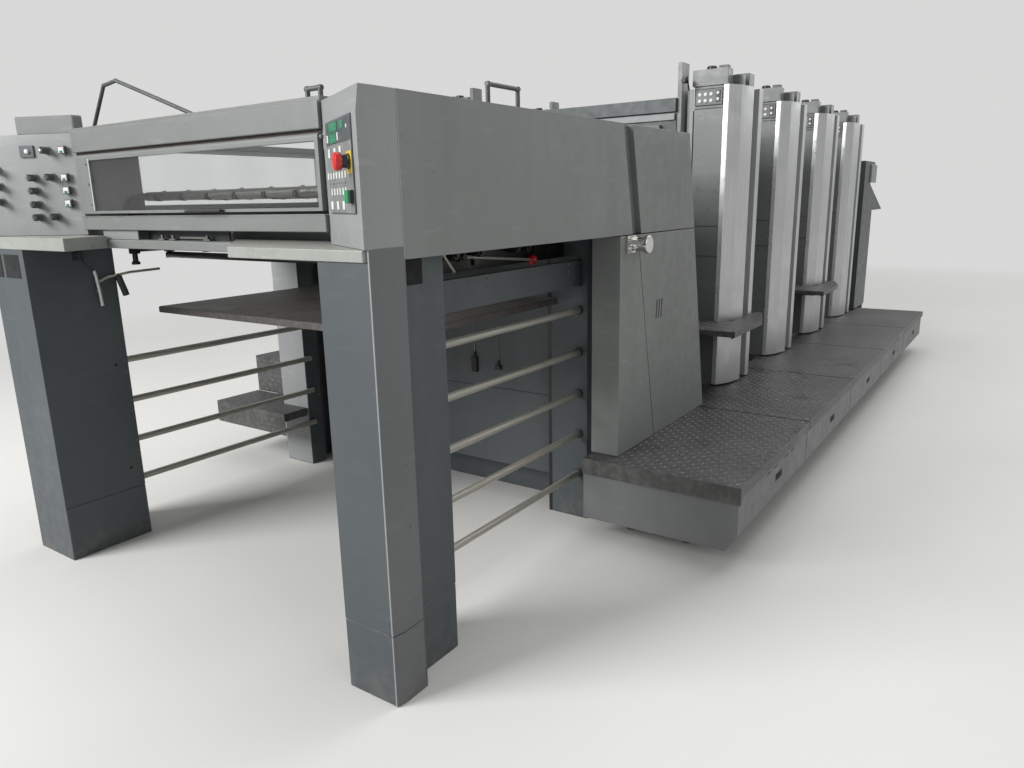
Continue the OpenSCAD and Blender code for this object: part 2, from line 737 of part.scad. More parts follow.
module ink_guards() color(panel_grey)
    for (k = [0 : unit_n - 1])
        block([-ink_half_w + 72, unit_y(k) + ink_shift - 10, unit_low_top + ink_guard_rise],
              [ink_half_w - 72, unit_y(k) + ink_shift + 14 - seat,
               unit_low_top + ink_guard_rise + ink_guard_h]);

module machine_bed() color(dark_grey)
    block([-unit_half_w + 16, -units_half_l + unit_seam / 2, 0],
          [unit_half_w - 16, units_half_l - unit_seam / 2, bed_h]);

// Tread plates of the operator side footboard; the first has a deeper lip in front
module footboard_plates() color([0.35, 0.35, 0.36]) {
    for (i = [0 : deck_n - 1])
        block([deck_in_x, deck_y + i * deck_pitch + (i == 0 ? 0 : deck_gap / 2),
               deck_z - tread_h],
              [deck_x, deck_y + (i + 1) * deck_pitch - (i == deck_n - 1 ? 0 : deck_gap / 2),
               deck_z]);
    block([deck_in_x, deck_y, deck_z - front_lip], [deck_x, deck_y + 8 - seat, deck_z - tread_h + 1]);
}

// Front plate with a cut-off lower corner, and the side skirt with a lifting hole
module footboard_skirt() color(panel_grey) {
    z1 = deck_z - tread_h - seat;
    block([skirt_x - sheet_t, deck_y + 8 + sheet_t + seat, skirt_low],
          [skirt_x, deck_y + deck_l - 8, z1]);
    translate([0, deck_y + 8 + sheet_t, 0]) rotate([90, 0, 0]) linear_extrude(sheet_t)
        polygon([[deck_in_x, front_plate_low], [skirt_x - 38, front_plate_low],
                 [skirt_x, skirt_low], [skirt_x, z1], [deck_in_x, z1]]);
}

// Bearers under the footboard, on short posts set back from the skirt
module footboard_frame() color(dark_grey) {
    z1 = deck_z - tread_h - seat;
    for (x = [deck_in_x + 10, skirt_x - sheet_t - seat - 50])
        block([x, deck_y + 20, z1 - 60], [x + 50, deck_y + deck_l - 10, z1]);
    for (x = [deck_in_x + 120, skirt_x - 220])
        for (i = [0 : deck_n])
            translate([x, deck_y + 160 + i * (deck_l - 320) / deck_n, 0])
                cylinder(h = z1, d = 44);
}

// Step in plan: in front of its tower and along the tower's outer face
function step_outline(k) =
    let (y = tower_y(k))
    [[unit_half_w + 4, y - step_l], [step_x, y - step_l], [step_x, y + 125],
     [step_x - 67, y + 345], [step_in_x + seat, y + 345], [step_in_x + seat, y - 8],
     [unit_half_w + 4, y - 8]];

module operator_steps() color([0.35, 0.35, 0.36])
    for (k = [0, 2]) {
        prism(step_z - step_rim, step_z, step_outline(k));
        block([unit_half_w + 4, tower_y(k) - 9, step_z - step_rim],
              [tower_x - 10, tower_y(k) - seat, step_z]);
    }

// Drive side platform, narrower beside the cabinet, with a deep riser and one lower tread
// that passes in front of the rear post
module drive_footboard() color([0.35, 0.35, 0.36]) {
    z0 = drive_deck_z - tread_h;
    block([-drive_deck_x, drive_deck_y, z0], [-drive_cabinet_x - seat, cabinet_end_y, drive_deck_z]);
    block([-drive_deck_x, drive_deck_y, drive_step_z + seat],
          [-drive_cabinet_x - seat, drive_deck_y + sheet_t, drive_deck_z]);
    block([-drive_deck_x, cabinet_end_y + seat, z0],
          [-cover_half_w - 4, deck_y + deck_l, drive_deck_z]);
    y0 = drive_deck_y - drive_step_l;
    prism(drive_step_z - tread_h, drive_step_z, [
        [-drive_step_x, y0], [-drive_post_in_x - 5, y0], [-drive_post_in_x - 5, drive_post_y - 5],
        [-drive_post_x - 5, drive_post_y - 5], [-drive_post_x - 5, drive_deck_y - seat],
        [-drive_step_x, drive_deck_y - seat]]);
    block([-drive_step_x, y0, drive_step_z - drive_lip],
          [-drive_post_in_x - 5, y0 + sheet_t, drive_step_z - tread_h + 1]);
    block([-drive_step_x, y0, drive_step_z - drive_lip],
          [-drive_step_x + sheet_t, drive_deck_y - seat, drive_step_z - tread_h + 1]);
}

// Bearers and posts under the drive side platform, and the arms that carry its lower tread
module drive_frame() color(dark_grey) {
    z1 = drive_deck_z - tread_h - seat;
    step_z1 = drive_step_z - tread_h - seat;
    post_y = drive_deck_y + 420;
    for (x = [-drive_deck_x + 10, -drive_cabinet_x - 65]) {
        block([x, drive_deck_y + 8, z1 - 60], [x + 50, deck_y + deck_l - 10, z1]);
        for (i = [0 : deck_n])
            translate([x + 25, post_y + i * (deck_l - 600) / deck_n, 0])
                cylinder(h = z1 - 60 - seat, d = 40);
        block([x + 10, drive_deck_y - drive_step_l + 40, step_z1 - 40], [x + 40, post_y, step_z1]);
    }
}

// Stand of the feeder: a closed base, then a post frame around the sheet pile
module feeder_stand() color(dark_grey) {
    block([-unit_half_w + 16, feeder_y, 0], [unit_half_w - 16, stand_y, stand_base_h]);
    both_sides() {
        x0 = feeder_stand_half_w - stand_post;
        for (y = [stand_y + seat, stand_end_y - stand_post])
            block([x0, y, 0], [feeder_stand_half_w, y + stand_post, stand_top - stand_beam_h - seat]);
        block([x0, stand_y + seat, stand_top - stand_beam_h],
              [feeder_stand_half_w, stand_end_y, stand_top]);
        block([x0 - 60 - seat, stand_y + seat, 0], [x0 - seat, stand_end_y, stand_rail_h]);
    }
}

// Side housings of the feeder, each with a slanted arm beside the feed table
module feeder_sides() color(dark_grey) both_sides()
    side_prism(unit_half_w + 4, cover_half_w, [
        [feeder_y, house_low], [stand_y, house_low], [stand_y, stand_top + seat],
        [stand_y + 430, stand_top + seat], [stand_y - 180, feeder_arm_z],
        [stand_y, feeder_top - 30], [stand_y - 30, feeder_top], [feeder_y, feeder_top]]);

// Feed table, sloping down from the pile to the last unit
module feed_table() color([0.4, 0.4, 0.4])
    side_prism(-unit_half_w - 4 + seat, unit_half_w + 4 - seat, [
        [feeder_y + 4, feed_low_z], [stand_y + 400, stand_top + 70],
        [stand_y + 400, stand_top + 40], [stand_y + 60, stand_top + seat],
        [stand_y - 20, stand_top + seat], [feeder_y + 4, feed_low_z - 40]]);

// Cross beam above the pile, with the suction head in its middle
module feeder_head() color([0.4, 0.4, 0.4]) {
    y = stand_y + feeder_head_run;
    block([-feeder_stand_half_w, y, stand_top + seat], [feeder_stand_half_w, y + 110, stand_top + 90]);
    block([-190, y - 60, stand_top - 30], [190, y + 150, stand_top + 190]);
}

module feeder_pile_board() color([0.3, 0.3, 0.3])
    block([-board_half_w - 40, stand_y + 120, stand_rail_h + seat],
          [board_half_w + 40, stand_end_y - 100, stand_rail_h + 35]);

front_column_operator();
front_column_drive();
rear_columns();
guard_rails();
side_beams();
delivery_frames();
delivery_body();
side_cover_operator();
rear_cover_operator();
side_cover_drive();
drive_window();
cabinet_operator();
cabinet_door();
cabinet_drive();
roof_cover();
roof_handles();
front_header();
front_sill();
sheet_tray();
front_guard();
guard_pane();
control_console();
switch_console();
switch_hood();
console_keys();
switch_buttons();
shelf_operator();
shelf_drive();
gripper_chains();
gripper_bars();
pull_rollers();
release_lever();
pile_board();
lift_guides();
cover_boss();
unit_1();
unit_2();
unit_3();
unit_4();
operator_towers();
drive_towers();
operator_columns();
drive_columns();
button_plates();
tower_heads();
ink_guards();
machine_bed();
footboard_plates();
footboard_skirt();
footboard_frame();
operator_steps();
drive_footboard();
drive_frame();
feeder_stand();
feeder_sides();
feed_table();
feeder_head();
feeder_pile_board();
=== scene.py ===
"""Looks of a four-unit sheet-fed offset printing press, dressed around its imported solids.

Lengths are in millimetres in the dataclass fields and in every Shape, and become metres when a piece is made.
"""

from __future__ import annotations

import logging
import math
from dataclasses import dataclass
from enum import Enum
from typing import ClassVar, Iterable, Sequence

import bmesh
import bpy
from mathutils import Matrix, Vector

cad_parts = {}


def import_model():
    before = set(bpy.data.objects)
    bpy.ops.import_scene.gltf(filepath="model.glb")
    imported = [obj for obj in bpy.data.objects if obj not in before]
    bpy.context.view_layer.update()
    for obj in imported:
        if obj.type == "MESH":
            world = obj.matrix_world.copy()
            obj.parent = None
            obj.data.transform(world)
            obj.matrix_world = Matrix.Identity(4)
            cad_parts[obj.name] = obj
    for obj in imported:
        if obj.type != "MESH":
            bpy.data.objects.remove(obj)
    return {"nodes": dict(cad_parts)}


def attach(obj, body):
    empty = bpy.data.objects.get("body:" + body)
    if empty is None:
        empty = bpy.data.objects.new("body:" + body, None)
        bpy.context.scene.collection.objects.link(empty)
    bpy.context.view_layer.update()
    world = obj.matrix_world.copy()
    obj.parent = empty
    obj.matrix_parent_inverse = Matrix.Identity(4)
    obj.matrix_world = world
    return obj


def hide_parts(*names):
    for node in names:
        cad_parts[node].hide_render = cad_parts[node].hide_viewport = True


LOG = logging.getLogger("press")
MM = 0.001
WELD_REACH = 0.00002
BACKDROP = (0.69, 0.69, 0.685)
OUT, BACK, SIDE, UP = (0, -1, 0), (0, 1, 0), (1, 0, 0), (0, 0, 1)
Point = Sequence[float]
Socket = bpy.types.NodeSocket
Piece = bpy.types.Object


class Body(str, Enum):
    """The moving bodies of the press."""

    PRESS = "press"
    GUARD = "front_guard"
    BOARD = "pile_board"


class Slot(str, Enum):
    """Material slots of the record."""

    COLUMN = "column_paint"
    PANEL = "panel_paint"
    LIGHT = "light_paint"
    STEEL = "bright_steel"
    DARK = "dark_metal"
    CLEAR = "clear_sheet"
    GUARD = "guard_paint"
    KEYS = "key_plastic"
    RED = "red_plastic"
    RUBBER = "roller_rubber"
    TREAD = "tread_steel"
    SKIRT = "skirt_paint"
    UNIT = "unit_paint"
    SILVER = "silver_paint"
    FEEDER = "feeder_metal"


class Axis(Enum):
    """Direction in which an outline is drawn out."""

    X = 0
    Y = 1
    Z = 2


def linear(red: int, green: int, blue: int) -> tuple[float, float, float, float]:
    """Turns a colour as seen on a screen into the shader's linear values.

    Args:
        red: 0 to 255.
        green: 0 to 255.
        blue: 0 to 255.

    Returns:
        Linear red, green, blue and an alpha of 1.
    """

    def one(value: int) -> float:
        """Turns one channel."""
        share = value / 255
        return share / 12.92 if share <= 0.04045 else ((share + 0.055) / 1.055) ** 2.4

    return one(red), one(green), one(blue), 1.0


class NodeSheet:
    """The node tree of one material, with short calls for the nodes that finishes share."""

    def __init__(self, name: str) -> None:
        """Starts a material with its shader.

        Args:
            name: Name of the material.
        """
        self.material = bpy.data.materials.new(name)
        self.material.use_nodes = True
        self.tree = self.material.node_tree
        self.shader = self.tree.nodes["Principled BSDF"]
        self.where = self.tree.nodes.new("ShaderNodeTexCoord").outputs["Object"]

    def put(self, kind: str, inputs: dict[str | int, object], **settings: object) -> bpy.types.Node:
        """Adds a node.

        Args:
            kind: Blender's name of the node type.
            inputs: Values or sockets for its inputs.
            settings: Attributes of the node.

        Returns:
            The node.
        """
        node = self.tree.nodes.new(kind)
        for key, value in settings.items():
            setattr(node, key, value)
        for key, value in inputs.items():
            if isinstance(value, bpy.types.NodeSocket):
                self.tree.links.new(value, node.inputs[key])
            else:
                node.inputs[key].default_value = value
        return node

    def noise(self, scale: float, stretch: Point = (1, 1, 1), detail: float = 4) -> Socket:
        """Noise over the surface.

        Args:
            scale: Spots to the metre.
            stretch: Factor on the scale along X, Y and Z.
            detail: Number of finer layers.

        Returns:
            The noise value, around 0.5.
        """
        place = self.put("ShaderNodeMapping", {"Vector": self.where, "Scale": tuple(scale * s for s in stretch)})
        return self.put("ShaderNodeTexNoise", {"Vector": place.outputs[0], "Scale": 1.0, "Detail": detail}).outputs[0]

    def spread(self, source: Socket, low: float, high: float, first: float = 0.0, last: float = 1.0) -> Socket:
        """Maps low..high of a value onto first..last, and stops there."""
        inputs = {0: source, 1: low, 2: high, 3: first, 4: last}
        return self.put("ShaderNodeMapRange", inputs, clamp=True).outputs[0]

    def times(self, left: Socket, right: Socket | float) -> Socket:
        """Product of two values."""
        return self.put("ShaderNodeMath", {0: left, 1: right}, operation="MULTIPLY").outputs[0]

    def blend(self, share: Socket, first: object, second: object) -> Socket:
        """Colour between two colours."""
        return self.put("ShaderNodeMix", {0: share, 6: first, 7: second}, data_type="RGBA").outputs[2]

    def facing_up(self, low: float = 0.6) -> Socket:
        """1 on faces that look up, 0 on walls."""
        normal = self.put("ShaderNodeNewGeometry", {}).outputs["Normal"]
        return self.spread(self.put("ShaderNodeSeparateXYZ", {0: normal}).outputs[2], low, 0.97)

    def height(self) -> Socket:
        """Height over the floor in metres."""
        return self.put("ShaderNodeSeparateXYZ", {0: self.where}).outputs[2]

    def relief(self, heights: Iterable[tuple[Socket, float]]) -> None:
        """Bumps the surface.

        Args:
            heights: Pairs of a height from 0 to 1 and its depth in metres.
        """
        normal: Socket | None = None
        for source, depth in heights:
            inputs: dict[str | int, object] = {"Strength": 1.0, "Distance": depth, "Height": source}
            if normal is not None:
                inputs["Normal"] = normal
            normal = self.put("ShaderNodeBump", inputs).outputs[0]
        self.tree.links.new(normal, self.shader.inputs["Normal"])

    def drive(self, name: str, source: Socket) -> None:
        """Feeds one input of the shader."""
        self.tree.links.new(source, self.shader.inputs[name])

    def fix(self, **values: object) -> None:
        """Sets inputs of the shader that are the same all over; _ stands for a space in their names."""
        for key, value in values.items():
            self.shader.inputs[key.replace("_", " ")].default_value = value


@dataclass(frozen=True)
class Finish:
    """Base of all finishes: a name, a colour on the screen's scale and a roughness."""

    name: str
    colour: tuple[int, int, int]
    roughness: float = 0.5

    def shade(self, factor: float) -> tuple[float, float, float, float]:
        """The finish's colour made darker or lighter by a factor."""
        red, green, blue, alpha = linear(*self.colour)
        return red * factor, green * factor, blue * factor, alpha

    def make(self) -> bpy.types.Material:
        """Builds the material, once.

        Returns:
            The material.
        """
        found = bpy.data.materials.get(self.name)
        if found is not None:
            return found
        sheet = NodeSheet(self.name)
        self.fill(sheet)
        return sheet.material

    def fill(self, sheet: NodeSheet) -> None:
        """Fills the node tree; each finish has its own way."""
        raise NotImplementedError


@dataclass(frozen=True)
class SheetPaint(Finish):
    """Baked paint on sheet steel: faint clouding, runs of grime, dust on top and fine grain."""

    dust: float = 0.5
    grime: float = 0.35
    chips: float = 0.5
    scuff_top: float = 0.0

    def fill(self, sheet: NodeSheet) -> None:
        """Fills the node tree.

        Args:
            sheet: The material's nodes.
        """
        cloud = sheet.spread(sheet.noise(1.6, detail=6), 0.32, 0.68)
        colour = sheet.blend(cloud, self.shade(0.88), self.shade(1.08))
        run = sheet.spread(sheet.noise(9, (1, 1, 0.1), 5), 0.52, 0.78, 0.0, self.grime)
        colour = sheet.blend(run, colour, self.shade(0.62))
        speck = sheet.spread(sheet.noise(85, detail=3), 0.69, 0.74, 0.0, self.chips)
        colour = sheet.blend(speck, colour, self.shade(0.45))
        rub = sheet.spread(sheet.noise(26, (0.35, 0.35, 1.8), 7), 0.60, 0.74, 0.0, 0.30)
        colour = sheet.blend(rub, colour, self.shade(1.5))
        patch = sheet.times(sheet.facing_up(), sheet.spread(sheet.noise(7, detail=8), 0.34, 0.66, 0.25, 1.0))
        dusty = sheet.times(patch, self.dust)
        colour = sheet.blend(dusty, colour, linear(156, 153, 144))
        if self.scuff_top:
            low = sheet.spread(sheet.height(), 0.0, self.scuff_top, 1.0, 0.0)
            splash = sheet.times(low, sheet.spread(sheet.noise(30, detail=8), 0.42, 0.7))
            colour = sheet.blend(sheet.times(splash, 0.5), colour, linear(108, 103, 95))
        sheet.drive("Base Color", colour)
        rough = sheet.spread(sheet.noise(22, detail=6), 0.3, 0.7, self.roughness - 0.07, self.roughness + 0.09)
        sheet.drive("Roughness", sheet.put("ShaderNodeMath", {0: rough, 1: sheet.times(dusty, 0.3)}).outputs[0])
        sheet.fix(Specular_IOR_Level=0.42)
        waves, grain = sheet.noise(3.2, detail=2), sheet.noise(700, detail=2)
        sheet.relief([(waves, 0.0016), (grain, 0.00012), (speck, -0.00015)])


@dataclass(frozen=True)
class BrushedMetal(Finish):
    """Bare or silver-coated metal with fine lines along one axis and a few dull spots."""

    lines: tuple[float, float, float] = (60, 60, 1)
    metallic: float = 1.0
    rust: float = 0.25
    line_depth: float = 0.00005

    def fill(self, sheet: NodeSheet) -> None:
        """Fills the node tree.

        Args:
            sheet: The material's nodes.
        """
        grain = sheet.noise(9, self.lines, 5)
        colour = sheet.blend(sheet.spread(grain, 0.3, 0.7), self.shade(0.86), self.shade(1.08))
        cloud = sheet.spread(sheet.noise(3.5, detail=6), 0.4, 0.75, 0.0, 0.35)
        colour = sheet.blend(cloud, colour, self.shade(0.7))
        spot = sheet.spread(sheet.noise(60, detail=6), 0.64, 0.73, 0.0, self.rust)
        colour = sheet.blend(spot, colour, linear(112, 84, 62))
        sheet.drive("Base Color", colour)
        sheet.fix(Metallic=self.metallic)
        dull = sheet.spread(sheet.noise(14, detail=7), 0.3, 0.72, self.roughness - 0.08, self.roughness + 0.14)
        sheet.drive("Roughness", dull)
        sheet.relief([(grain, self.line_depth), (spot, 0.00008)])


@dataclass(frozen=True)
class WornTread(Finish):
    """Walked-on tread plate: dark between the lugs, rubbed bright on top, dust and oil in patches."""

    def fill(self, sheet: NodeSheet) -> None:
        """Fills the node tree.

        Args:
            sheet: The material's nodes.
        """
        patch = sheet.spread(sheet.noise(2.6, detail=8), 0.34, 0.68)
        colour = sheet.blend(patch, self.shade(0.75), self.shade(1.2))
        fine = sheet.spread(sheet.noise(48, detail=7), 0.42, 0.7, 0.0, 0.55)
        colour = sheet.blend(fine, colour, linear(106, 106, 104))
        oil = sheet.spread(sheet.noise(5.5, detail=4), 0.58, 0.72, 0.0, 0.6)
        colour = sheet.blend(oil, colour, self.shade(0.45))
        sheet.drive("Base Color", colour)
        sheet.fix(Metallic=0.4)
        sheet.drive("Roughness", sheet.spread(oil, 0.0, 0.6, self.roughness, self.roughness - 0.14))
        sheet.relief([(sheet.noise(240, detail=5), 0.0003), (sheet.noise(14, detail=3), 0.0006)])


@dataclass(frozen=True)
class Moulded(Finish):
    """Moulded plastic or rubber with a fine grain and fingermarks."""

    grain: float = 900.0
    depth: float = 0.00006

    def fill(self, sheet: NodeSheet) -> None:
        """Fills the node tree.

        Args:
            sheet: The material's nodes.
        """
        mark = sheet.spread(sheet.noise(35, detail=6), 0.35, 0.7)
        sheet.drive("Base Color", sheet.blend(mark, self.shade(0.85), self.shade(1.12)))
        sheet.drive("Roughness", sheet.spread(mark, 0.0, 1.0, self.roughness - 0.08, self.roughness + 0.1))
        sheet.relief([(sheet.noise(self.grain, detail=2), self.depth)])


@dataclass(frozen=True)
class ClearPane(Finish):
    """Clear acrylic sheet with a little haze and wiping marks."""

    def fill(self, sheet: NodeSheet) -> None:
        """Fills the node tree.

        Args:
            sheet: The material's nodes.
        """
        haze = sheet.spread(sheet.noise(5, (1, 1, 0.3), 7), 0.45, 0.8)
        sheet.drive("Base Color", sheet.blend(haze, self.shade(1.0), self.shade(0.93)))
        sheet.drive("Roughness", sheet.spread(haze, 0.0, 1.0, self.roughness, self.roughness + 0.03))
        sheet.fix(Transmission_Weight=0.98, IOR=1.2)
        sheet.relief([(sheet.noise(1.8, detail=1), 0.0001)])


@dataclass(frozen=True)
class PaleGround(Finish):
    """Plain pale floor that keeps the shadow near the press and fades into the background farther off."""

    near: float = 2.7
    far: float = 6.5
    squeeze: tuple[float, float, float] = (1.0, 0.7, 1.0)

    def fill(self, sheet: NodeSheet) -> None:
        """Fills the node tree.

        Args:
            sheet: The material's nodes.
        """
        cloud = sheet.spread(sheet.noise(0.8, detail=6), 0.3, 0.7)
        sheet.drive("Base Color", sheet.blend(cloud, self.shade(0.97), self.shade(1.03)))
        sheet.fix(Roughness=self.roughness)
        sheet.relief([(sheet.noise(60, detail=4), 0.0002)])
        oval = sheet.put("ShaderNodeVectorMath", {0: sheet.where, 1: self.squeeze}, operation="MULTIPLY").outputs[0]
        reach = sheet.put("ShaderNodeVectorMath", {0: oval}, operation="LENGTH").outputs["Value"]
        share = sheet.spread(reach, self.near, self.far)
        glow = sheet.put("ShaderNodeEmission", {"Color": (*BACKDROP, 1), "Strength": 1.0}).outputs[0]
        mix = sheet.put("ShaderNodeMixShader", {0: share, 1: sheet.shader.outputs[0], 2: glow})
        sheet.tree.links.new(mix.outputs[0], sheet.tree.nodes["Material Output"].inputs["Surface"])


COLUMN_PAINT = SheetPaint("column_finish", (68, 74, 77), 0.46, scuff_top=0.12)
# Panel grey darkened to paint the shade that falls on the operator side column's side panel.
SHADED_COLUMN_SIDE = SheetPaint("shaded_column_side_finish", (91, 95, 95), 0.48, scuff_top=0.12)
PANEL_PAINT = SheetPaint("panel_finish", (111, 114, 112), 0.48, dust=0.6)
CONSOLE_PAINT = SheetPaint("console_finish", (128, 131, 131), 0.42, grime=0.2, chips=0.3)
SHELF_PAINT = SheetPaint("shelf_finish", (142, 145, 140), 0.30, dust=0.75)
DARK_PAINT = SheetPaint("dark_panel_finish", (42, 45, 47), 0.5)
UNIT_PAINT = SheetPaint("unit_finish", (70, 75, 77), 0.42, grime=0.5)
TOWER_PAINT = SheetPaint("tower_finish", (104, 107, 107), 0.32, grime=0.45)
SKIRT_PAINT = SheetPaint("skirt_finish", (105, 107, 107), 0.48, scuff_top=0.12)
FRAME_PAINT = SheetPaint("underframe_finish", (52, 54, 55), 0.55, dust=0.7)
EDGE_PAINT = SheetPaint("edge_strip_finish", (138, 142, 142), 0.42, grime=0.25, chips=0.6)
# Light grey for strips and a facing that paint highlights on edges and the light falling on a post's front face.
PAINTED_LIGHT_GREY = SheetPaint("painted_light_finish", (134, 136, 137), 0.44, grime=0.25, chips=0.3)
SILVER_COAT = BrushedMetal("silver_finish", (196, 197, 197), 0.36, (60, 60, 0.4), 0.7, 0.05)
BRIGHT_EDGE = BrushedMetal("bright_edge_finish", (220, 221, 220), 0.30, (60, 60, 0.4), 0.5, 0.0)
STEEL_ROD = BrushedMetal("rod_finish", (168, 166, 157), 0.36, (60, 0.8, 60), 0.5, 0.12)
CHROME = BrushedMetal("chrome_finish", (212, 212, 208), 0.14, (20, 20, 20), 1.0, 0.1)
DULL_STEEL = BrushedMetal("dull_steel_finish", (132, 131, 127), 0.42, (30, 30, 30), 0.9, 0.5)
OILED_IRON = BrushedMetal("oiled_iron_finish", (58, 57, 56), 0.36, (25, 25, 25), 0.8, 0.4)
TREAD = WornTread("tread_finish", (76, 77, 76), 0.46)
TREAD_LUGS = WornTread("tread_lug_finish", (96, 97, 95), 0.38)
BOARD_STEEL = WornTread("board_finish", (84, 80, 76), 0.46)
BLACK_PLASTIC = Moulded("black_plastic_finish", (32, 33, 34), 0.38)
GREY_PLASTIC = Moulded("grey_plastic_finish", (116, 118, 117), 0.45)
SLATE_PLASTIC = Moulded("slate_plastic_finish", (70, 74, 76), 0.42)
WHITE_PLASTIC = Moulded("white_plastic_finish", (205, 206, 202), 0.38)
RED_PLASTIC = Moulded("red_plastic_finish", (190, 34, 34), 0.22)
GREEN_PLASTIC = Moulded("green_plastic_finish", (32, 128, 84), 0.30)
LAMP_GREEN = Moulded("green_display_finish", (26, 118, 84), 0.24)
YELLOW_PLASTIC = Moulded("yellow_plastic_finish", (206, 180, 60), 0.36)
HOLE_BLACK = Moulded("hole_finish", (9, 10, 11), 0.85)
RUBBER = Moulded("rubber_finish", (52, 42, 38), 0.62, 500, 0.0001)
CLEAR = ClearPane("clear_finish", (246, 248, 247), 0.01)
GROUND = PaleGround("floor_finish", (205, 204, 201), 0.75)


class Shape:
    """Collects the solids of one piece in millimetres, and makes one object of them."""

    def __init__(self, place: Matrix | None = None) -> None:
        """Starts an empty shape.

        Args:
            place: Where the shape's own axes lie in the press's frame.
        """
        self.place = place or Matrix.Identity(4)
        self.points: list[Vector] = []
        self.faces: list[list[int]] = []

    def solid(self, points: Iterable[Point], faces: Iterable[Sequence[int]]) -> Shape:
        """Adds points and the faces between them.

        Args:
            points: The points in the shape's own axes.
            faces: Numbers of each face's points.

        Returns:
            The shape.
        """
        start = len(self.points)
        self.points += [self.place @ Vector(p) for p in points]
        self.faces += [[start + i for i in face] for face in faces]
        return self

    def block(self, low: Point, high: Point) -> Shape:
        """Adds a block.

        Args:
            low: The corner with the smallest values.
            high: The corner with the largest ones.

        Returns:
            The shape.
        """
        (x0, y0, z0), (x1, y1, z1) = low, high
        corners = [(x, y, z) for z in (z0, z1) for x, y in ((x0, y0), (x1, y0), (x1, y1), (x0, y1))]
        faces = [(0, 3, 2, 1), (4, 5, 6, 7), (0, 1, 5, 4), (1, 2, 6, 5), (2, 3, 7, 6), (3, 0, 4, 7)]
        return self.solid(corners, faces)

    def plates(self, spots: Iterable[Point], out: float, back: float) -> Shape:
        """Adds plates on a console's face.

        Args:
            spots: Left edge, low edge, width and height of each.
            out: How far their fronts stand before the face.
            back: How far their backs do.

        Returns:
            The shape.
        """
        for left, low, wide, tall in spots:
            self.block((left, -out, low), (left + wide, -back, low + tall))
        return self

    def drawn(self, outline: Sequence[Point], axis: Axis, start: float, end: float) -> Shape:
        """Adds a flat outline drawn out along an axis.

        Args:
            outline: Points in the two other axes, in their order X, Y, Z.
            axis: Direction of drawing out.
            start: Where it begins.
            end: Where it ends.

        Returns:
            The shape.
        """

        def place(point: Point, along: float) -> Point:
            """Point of the outline at a place along the axis."""
            return [*point[: axis.value], along, *point[axis.value :]]

        n = len(outline)
        points = [place(p, start) for p in outline] + [place(p, end) for p in outline]
        sides = [(i, (i + 1) % n, n + (i + 1) % n, n + i) for i in range(n)]
        return self.solid(points, [list(range(n))[::-1], list(range(n, 2 * n)), *sides])

    def skin(self, rings: Sequence[Sequence[Vector]]) -> Shape:
        """Adds a skin over rings of points, with a flat cap at both ends.

        Args:
            rings: The rings in order, each with the same number of points.

        Returns:
            The shape.
        """
        sides, last = len(rings[0]), (len(rings) - 1) * len(rings[0])
        faces: list[list[int]] = [list(range(sides))[::-1]]
        for start in range(0, last, sides):
            for i in range(sides):
                j = (i + 1) % sides
                faces.append([start + i, start + j, start + sides + j, start + sides + i])
        faces.append([last + i for i in range(sides)])
        return self.solid([point for ring in rings for point in ring], faces)

    def turned(self, profile: Sequence[Point], foot: Point, way: Point, sides: int = 24) -> Shape:
        """Adds a turned part.

        Args:
            profile: Radius and distance from the foot, from one end to the other.
            foot: Where the profile's distances start.
            way: Direction of the turning axis.
            sides: Number of flats round it.

        Returns:
            The shape.
        """
        base, axis = Vector(foot), Vector(way).normalized()
        side = axis.orthogonal().normalized()
        cross = axis.cross(side)
        return self.skin([circle(base + axis * along, side, cross, radius, sides) for radius, along in profile])

    def rod(self, start: Point, end: Point, thick: float, sides: int = 20, edge: float = 0.0) -> Shape:
        """Adds a round bar.

        Args:
            start: Middle of one end.
            end: Middle of the other.
            thick: Its diameter.
            sides: Number of flats round it.
            edge: Width of the eased edge at its ends.

        Returns:
            The shape.
        """
        span, r = Vector(end) - Vector(start), thick / 2
        profile = [(r, 0.0), (r, span.length)]
        if edge:
            profile = [(r - edge, 0.0), (r, edge), (r, span.length - edge), (r - edge, span.length)]
        return self.turned(profile, start, span, sides)

    def ball(self, centre: Point, across: float, rings: int = 12) -> Shape:
        """Adds a ball.

        Args:
            centre: Its middle.
            across: Its diameter.
            rings: Number of bands from one pole to the other.

        Returns:
            The shape.
        """
        r, turns = across / 2, [math.pi * i / rings for i in range(rings + 1)]
        return self.turned([(max(r * math.sin(t), r * 0.02), -r * math.cos(t)) for t in turns], centre, UP)

    def tube(self, path: Sequence[Point], thick: float, sides: int = 12) -> Shape:
        """Adds a bent round bar or hose.

        Args:
            path: Points on its middle line.
            thick: Its diameter.
            sides: Number of flats round it.

        Returns:
            The shape.
        """
        spots, rings = [Vector(p) for p in path], []
        side = (spots[1] - spots[0]).orthogonal().normalized()
        for i, spot in enumerate(spots):
            ahead = spots[min(i + 1, len(spots) - 1)] - spots[max(i - 1, 0)]
            ahead.normalize()
            side = (side - ahead * side.dot(ahead)).normalized()
            rings.append(circle(spot, side, ahead.cross(side), thick / 2, sides))
        return self.skin(rings)

    def bolt(self, head: Point, way: Point, across: float = 13.0, tall: float = 6.0) -> Shape:
        """Adds a socket screw's head that stands on a face.

        Args:
            head: Where its axis meets the face.
            way: Direction away from the face.
            across: Its diameter.
            tall: Its height.

        Returns:
            The shape.
        """
        r = across / 2
        profile = [(r, -0.5), (r, tall - 1), (r - 1, tall), (r * 0.55, tall), (r * 0.55, tall * 0.45)]
        return self.turned(profile, head, way, 16)

